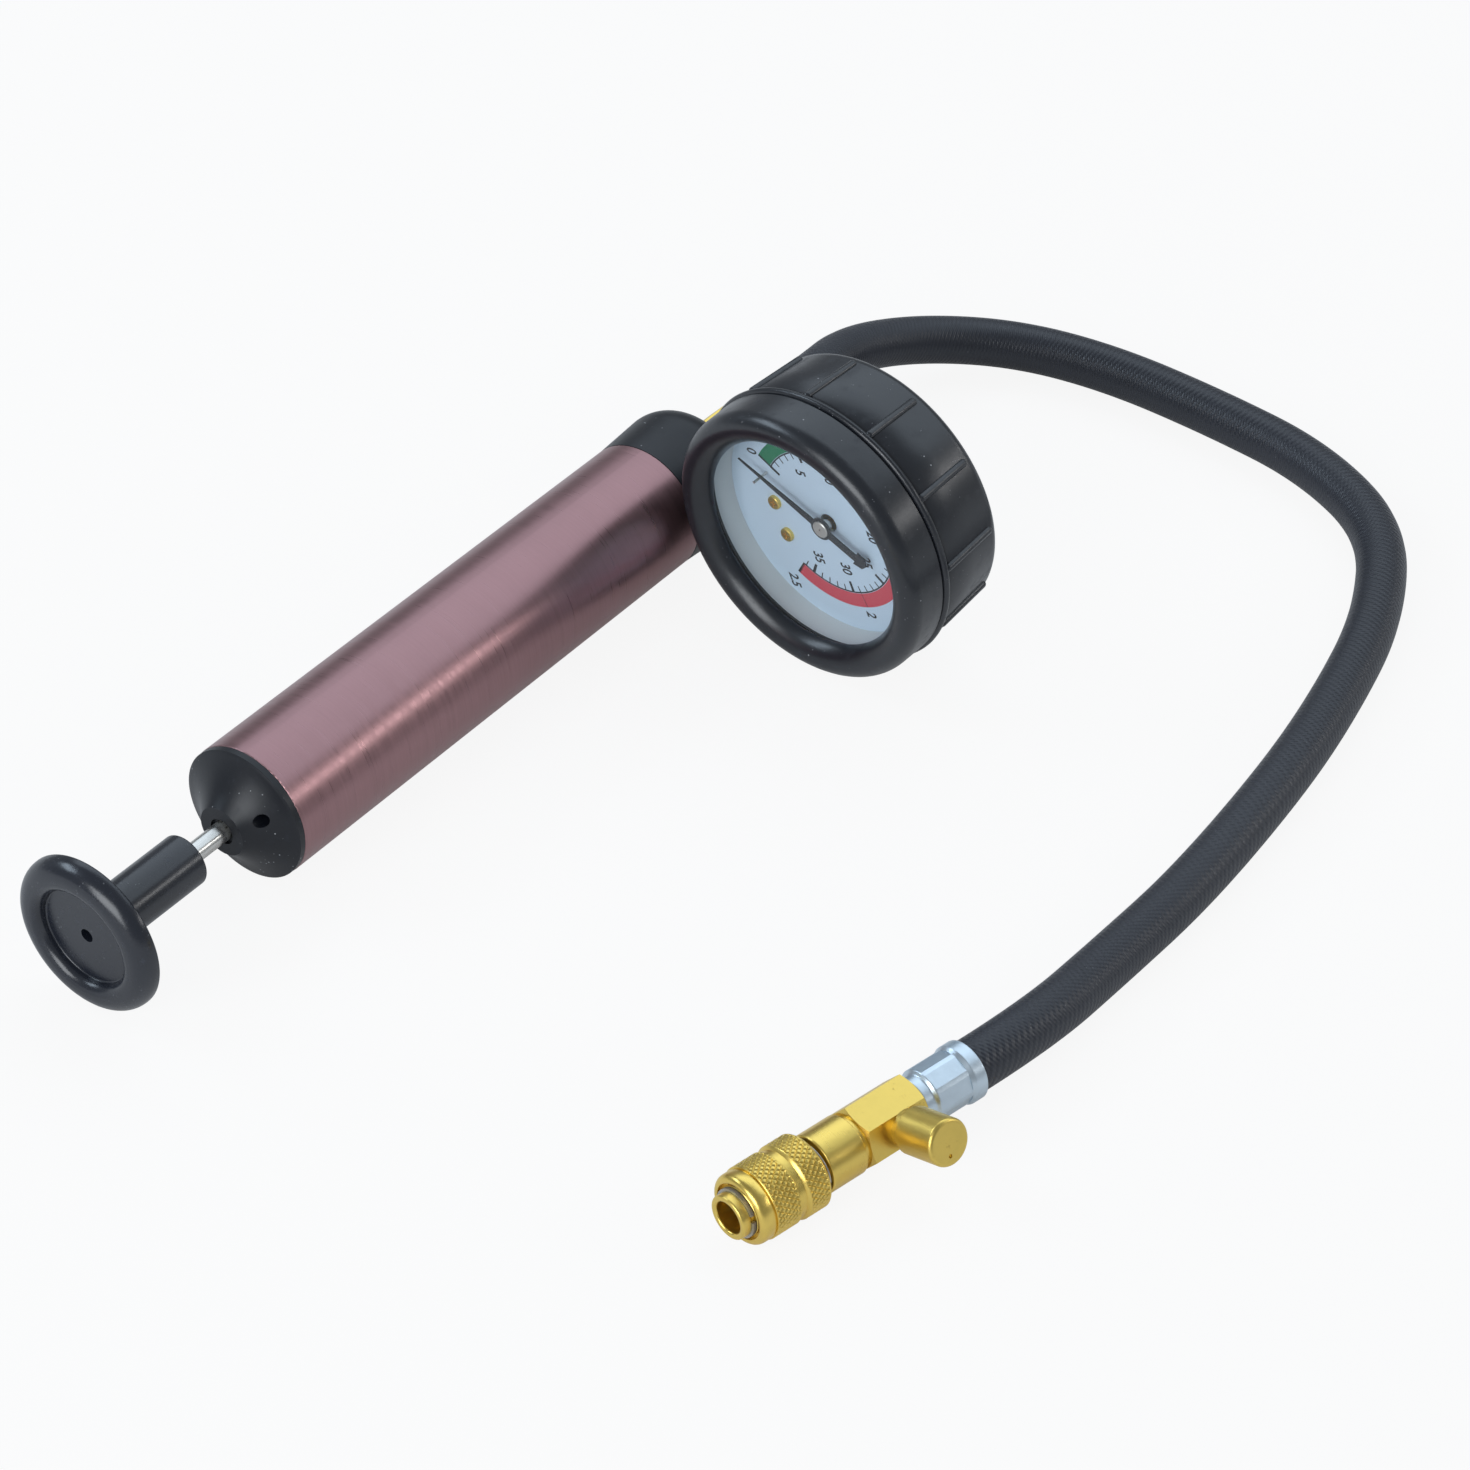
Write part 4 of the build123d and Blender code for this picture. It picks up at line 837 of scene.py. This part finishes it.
class PUMP_OT_scale(PumpOperator):
    """Print the scale: coloured bands, lines and plain numerals"""

    bl_idname = "pump.scale"
    bl_label = "Dial print"

    def plates(self, name, material, sectors):
        points, faces = [], []
        front = DIAL_DEPTH - sizes().print_height
        back = DIAL_DEPTH - PRINT_GAP
        for inner, outer, start, end in sectors:
            steps = max(1, round(abs(end - start) / 1.5))
            more, sides = sector_plate(inner, outer, start, end, front, back, steps)
            faces += [tuple(corner + len(points) for corner in side) for side in sides]
            points += more
        return new_piece(name, points, faces, material, "pump")

    def line(self, angle, inner, outer, width):
        spread = math.degrees(width * 0.5 / ((inner + outer) * 0.5))
        return (inner, outer, angle - spread, angle + spread)

    def numeral(self, text, radius, angle):
        curve = bpy.data.curves.new("numeral", "FONT")
        curve.body = text
        curve.size = NUMERAL_HEIGHT
        curve.align_x = "CENTER"
        curve.align_y = "CENTER"
        curve.shear = NUMERAL_SLANT
        curve.space_character = NUMERAL_SPACING
        curve.offset = NUMERAL_WEIGHT
        curve.extrude = sizes().print_height * 0.4
        curve.resolution_u = 4
        source = bpy.data.objects.new("numeral", curve)
        bpy.context.scene.collection.objects.link(source)
        bpy.context.view_layer.update()
        graph = bpy.context.evaluated_depsgraph_get()
        mesh = bpy.data.meshes.new_from_object(source.evaluated_get(graph))
        bpy.data.objects.remove(source)
        bpy.data.curves.remove(curve)
        centre = dial_point(radius, angle, DIAL_DEPTH - sizes().print_height * 0.55)
        turn = Matrix((-SIDEWAYS, -TO_PORT, -INWARD)).transposed().to_4x4()
        squeeze = Matrix.Diagonal((NUMERAL_SQUEEZE, 1.0, 1.0, 1.0))
        mesh.transform(Matrix.Translation(centre) @ turn @ squeeze)
        return mesh

    def execute(self, context):
        ring = sizes().scale_radius
        rim = ring + sizes().band_width
        end = ZERO_ANGLE + OUTER_END * DEGREES_PER_OUTER
        ink = painted("scale_ink", tuple(colours().ink), 0.5)
        green = painted("low_band_ink", tuple(colours().low_band), 0.5)
        red = painted("high_band_ink", tuple(colours().high_band), 0.5)
        low_end = ZERO_ANGLE + LOW_END * DEGREES_PER_OUTER
        high_start = ZERO_ANGLE + HIGH_START * DEGREES_PER_UNIT
        band = ring + 0.3 * MM
        self.plates("low_band", green, [(band, rim, ZERO_ANGLE, low_end)])
        self.plates("high_band", red, [(band, rim, high_start, end)])
        marks = [(ring - 0.2 * MM, ring + 0.2 * MM, ZERO_ANGLE, end)]
        for unit in range(INNER_UNITS + 1):
            angle = ZERO_ANGLE + unit * DEGREES_PER_UNIT
            if unit % INNER_STEP == 0:
                marks.append(self.line(angle, ring - 3.1 * MM, ring, 0.8 * MM))
            elif angle < end:
                marks.append(self.line(angle, ring - 1.9 * MM, ring, 0.32 * MM))
        for unit in range(OUTER_STEPS + 1):
            angle = ZERO_ANGLE + unit * OUTER_STEP * DEGREES_PER_OUTER
            width = 0.7 * MM if unit in (0, OUTER_STEPS) else 0.3 * MM
            marks.append(self.line(angle, ring, rim, width))
        self.plates("scale_lines", ink, marks)
        joined = bmesh.new()
        for number, radius, offset in INNER_LABELS:
            angle = ZERO_ANGLE + number * DEGREES_PER_UNIT + offset
            joined.from_mesh(self.numeral(str(number), radius * MM, angle))
        for text, radius, offset in OUTER_LABELS:
            angle = ZERO_ANGLE + float(text) * DEGREES_PER_OUTER + offset
            joined.from_mesh(self.numeral(text, radius * MM, angle))
        mesh = bpy.data.meshes.new("scale_numerals")
        joined.to_mesh(mesh)
        joined.free()
        dress(bpy.data.objects.new("scale_numerals", mesh), ink, "pump")
        return {"FINISHED"}


# ---- sliding sleeve: places along the coupler and radii, in millimetres ----
SLEEVE_PROFILE = (
    (48.3, 7.4),
    (48.3, 8.5),
    (48.45, 8.8),
    (48.75, 9.05),
    (48.85, 9.1),
    (54.3, 9.1),
    (54.45, 9.0),
    (54.9, 8.35),
    (56.6, 8.32),
    (56.95, 8.85),
    (57.05, 8.9),
    (63.75, 8.9),
    (63.85, 8.8),
    (63.95, 8.35),
    (64.15, 8.35),
    (64.3, 8.55),
    (64.5, 8.62),
    (66.3, 8.6),
    (66.75, 8.52),
    (67.15, 8.34),
    (67.45, 8.08),
    (67.65, 7.8),
    (67.78, 7.48),
    (67.8, 7.3),
    (67.8, 7.05),
    (67.72, 6.9),
    (67.5, 6.82),
    (66.2, 6.8),
    (66.2, 6.15),
    (67.3, 6.15),
    (67.45, 6.0),
    (67.45, 5.53),
    (60.0, 5.53),
    (60.0, 7.4),
)
GRIP_BANDS = ((48.9, 54.25), (57.1, 63.7))
GRIP_RADIUS = 8.8
KNURL_RING = 0.12
KNURL_EDGE = 0.3
KNURL_RADIUS = 9.0
# a diamond's width and length over the pitch, and the steepness of the two sets of grooves
DIAMOND_WIDTH = 1.2
DIAMOND_LENGTH = 1.5
RIGHT_STEEPNESS = 1.5
LEFT_STEEPNESS = 1.9
SLEEVE_STEPS = 420
SLEEVE_SMOOTHING = 32.0


class PUMP_OT_sleeve(PumpOperator):
    """Cut the diamond knurl into the sleeve's two grip bands"""

    bl_idname = "pump.sleeve"
    bl_label = "Knurled sleeve"

    def fine_profile(self):
        """Profile with extra rings across the grip bands"""
        rows = []
        for first, second in zip(SLEEVE_PROFILE, SLEEVE_PROFILE[1:] + SLEEVE_PROFILE[:1]):
            rows.append(first)
            for start, stop in GRIP_BANDS:
                if first[0] <= start and second[0] >= stop:
                    rings = round((stop - start) / KNURL_RING)
                    for ring in range(rings + 1):
                        rows.append((start + (stop - start) * ring / rings, first[1]))
        return [(place * MM, radius * MM) for place, radius in rows]

    def execute(self, context):
        depth = sizes().knurl_depth
        turns = round(math.tau * KNURL_RADIUS * MM / (sizes().knurl_pitch * DIAMOND_WIDTH))
        climb = math.tau / (sizes().knurl_pitch * DIAMOND_LENGTH)

        def knurl(place, radius, angle):
            if radius < GRIP_RADIUS * MM:
                return 0.0
            for start, stop in GRIP_BANDS:
                if start * MM < place < stop * MM:
                    inside = min(place - start * MM, stop * MM - place)
                    edge = min(1.0, inside / (KNURL_EDGE * MM))
                    right = abs(math.sin((turns * angle + climb * place) * 0.5))
                    left = abs(math.sin((turns * angle - climb * place) * 0.5))
                    ridge = min(right * RIGHT_STEEPNESS, left * LEFT_STEEPNESS, 1.0)
                    return depth * edge * (1.0 - ridge)
            return 0.0

        side = Vector((0, 0, 1))
        rows = self.fine_profile()
        points, faces = lathe(rows, COUPLER_END, COUPLER_WAY, side, SLEEVE_STEPS, knurl)
        brass = machined_metal("knurled_brass", tuple(colours().brass), 0.20, 0.10, COUPLER_WAY)
        sleeve = new_piece("knurled_sleeve", points, faces, brass, "sleeve")
        smooth(sleeve, SLEEVE_SMOOTHING)
        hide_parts("coupler_sleeve")
        return {"FINISHED"}


class PUMP_OT_hose(PumpOperator):
    """Lay the hose from the outlet ferrule to the coupler"""

    bl_idname = "pump.hose"
    bl_label = "Hose"

    def execute(self, context):
        curve = bpy.data.curves.new("rubber_hose", "CURVE")
        curve.dimensions = "3D"
        curve.bevel_depth = sizes().hose_radius
        curve.bevel_resolution = 14
        curve.resolution_u = 24
        spline = curve.splines.new("NURBS")
        spline.points.add(len(HOSE_ROUTE) - 1)
        for point, place in zip(spline.points, HOSE_ROUTE):
            point.co = (*place, 1)
        spline.order_u = 3
        spline.use_endpoint_u = True
        cover = wrapped_hose()
        hose = dress(bpy.data.objects.new("rubber_hose", curve), cover, "pump")
        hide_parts("hose")
        finish_nodes(cover, "hose_ends")
        return {"FINISHED"}


# ---- stage ----
CAMERA_AZIMUTH = math.radians(-52.801)
CAMERA_ELEVATION = math.radians(39.325)
CAMERA_DISTANCE = 1.16986
CAMERA_TARGET = Vector((0.03648, -0.02166, 0.0))
CAMERA_LENS = 117.12
# name, place, aim, width, depth, watts and colour of each soft lamp
LAMPS = (
    ("top_box", (0.86, 0.15, 1.09), (0.05, 0, 0), 2.4, 0.9, 9.0, (0.76, 0.88, 1.0)),
    ("left_box", (-1.30, -0.15, 0.62), (0, 0, 0.03), 1.0, 0.8, 12.0, (0.92, 0.96, 1.0)),
    ("rear_strip", (-0.40, 1.00, 0.85), (0, 0, 0.03), 0.7, 0.3, 4.0, (0.72, 0.86, 1.0)),
    ("front_strip", (0.95, -1.12, 0.57), (0, 0.04, 0.02), 0.9, 0.14, 2.6, (1.0, 1.0, 1.0)),
)


class PUMP_OT_stage(PumpOperator):
    """Set the floor, the lamps, the world and the camera"""

    bl_idname = "pump.stage"
    bl_label = "Stage"

    def floor(self):
        mesh = bpy.data.meshes.new("floor")
        reach = 6.0
        corners = [(-reach, -reach, 0), (reach, -reach, 0), (reach, reach, 0), (-reach, reach, 0)]
        mesh.from_pydata(corners, [], [(0, 1, 2, 3)])
        look = Finish("floor_paper")
        white = look.node("ShaderNodeEmission", values={"Color": (1, 1, 1), "Strength": 1.0})
        rays = look.node("ShaderNodeLightPath")
        outputs = rays.socket.node.outputs
        seen = Wire(look, outputs["Is Camera Ray"]) * 0.90
        seen = seen + Wire(look, outputs["Is Glossy Ray"]) * 0.20
        seen = seen + Wire(look, outputs["Is Transmission Ray"]) * 0.6
        look.set(base_color=(0.74, 0.74, 0.745), roughness=0.9)
        paper = Wire(look, look.shader.outputs[0])
        both = look.node("ShaderNodeMixShader", values={0: seen, 1: paper, 2: white})
        output = look.tree.nodes["Material Output"]
        look.tree.links.new(both.socket, output.inputs["Surface"])
        floor = bpy.data.objects.new("floor", mesh)
        mesh.materials.append(look.material)
        bpy.context.scene.collection.objects.link(floor)

    def lamp(self, name, place, aim, width, depth, power, tint):
        data = bpy.data.lights.new(name, "AREA")
        data.shape = "RECTANGLE"
        data.size = width
        data.size_y = depth
        data.energy = power
        data.color = tint
        lamp = bpy.data.objects.new(name, data)
        lamp.location = place
        lamp.rotation_euler = (Vector(aim) - Vector(place)).to_track_quat("-Z", "Y").to_euler()
        bpy.context.scene.collection.objects.link(lamp)

    def camera(self):
        data = bpy.data.cameras.new("camera")
        data.lens = CAMERA_LENS
        data.sensor_width = 36.0
        flat = math.cos(CAMERA_ELEVATION)
        sideways = math.sin(CAMERA_AZIMUTH) * flat
        away = -math.cos(CAMERA_AZIMUTH) * flat
        back = Vector((sideways, away, math.sin(CAMERA_ELEVATION)))
        camera = bpy.data.objects.new("camera", data)
        camera.location = CAMERA_TARGET + back * CAMERA_DISTANCE
        camera.rotation_euler = back.to_track_quat("Z", "Y").to_euler()
        bpy.context.scene.collection.objects.link(camera)
        bpy.context.scene.camera = camera

    def world(self):
        world = bpy.data.worlds.new("studio")
        world.use_nodes = True
        background = world.node_tree.nodes["Background"]
        background.inputs["Color"].default_value = (0.88, 0.94, 1.0, 1)
        background.inputs["Strength"].default_value = 0.30
        bpy.context.scene.world = world

    def execute(self, context):
        self.floor()
        self.world()
        self.camera()
        for lamp in LAMPS:
            self.lamp(*lamp)
        bpy.context.scene.view_settings.view_transform = "Standard"
        return {"FINISHED"}


class PUMP_PT_panel(bpy.types.Panel):
    """Sidebar panel with the pump's steps and values"""

    bl_idname = "PUMP_PT_panel"
    bl_label = "Hand pump"
    bl_space_type = "VIEW_3D"
    bl_region_type = "UI"
    bl_category = "Pump"

    def draw(self, context):
        for operator in OPERATORS:
            self.layout.operator(operator.bl_idname)
        for group in (context.scene.pump_colours, context.scene.pump_sizes):
            for name in group.__annotations__:
                self.layout.prop(group, name)


OPERATORS = (
    PUMP_OT_barrel,
    PUMP_OT_plastics,
    PUMP_OT_boot,
    PUMP_OT_rubber,
    PUMP_OT_metals,
    PUMP_OT_gauge,
    PUMP_OT_scale,
    PUMP_OT_sleeve,
    PUMP_OT_hose,
    PUMP_OT_stage,
)
CLASSES = (PumpColours, PumpSizes, *OPERATORS, PUMP_PT_panel)


def register():
    for item in CLASSES:
        bpy.utils.register_class(item)
    bpy.types.Scene.pump_colours = PointerProperty(type=PumpColours)
    bpy.types.Scene.pump_sizes = PointerProperty(type=PumpSizes)


def unregister():
    del bpy.types.Scene.pump_sizes
    del bpy.types.Scene.pump_colours
    for item in reversed(CLASSES):
        bpy.utils.unregister_class(item)


def main():
    register()
    for operator in OPERATORS:
        getattr(bpy.ops.pump, operator.bl_idname.split(".")[1])()


if __name__ == "__main__":
    main()
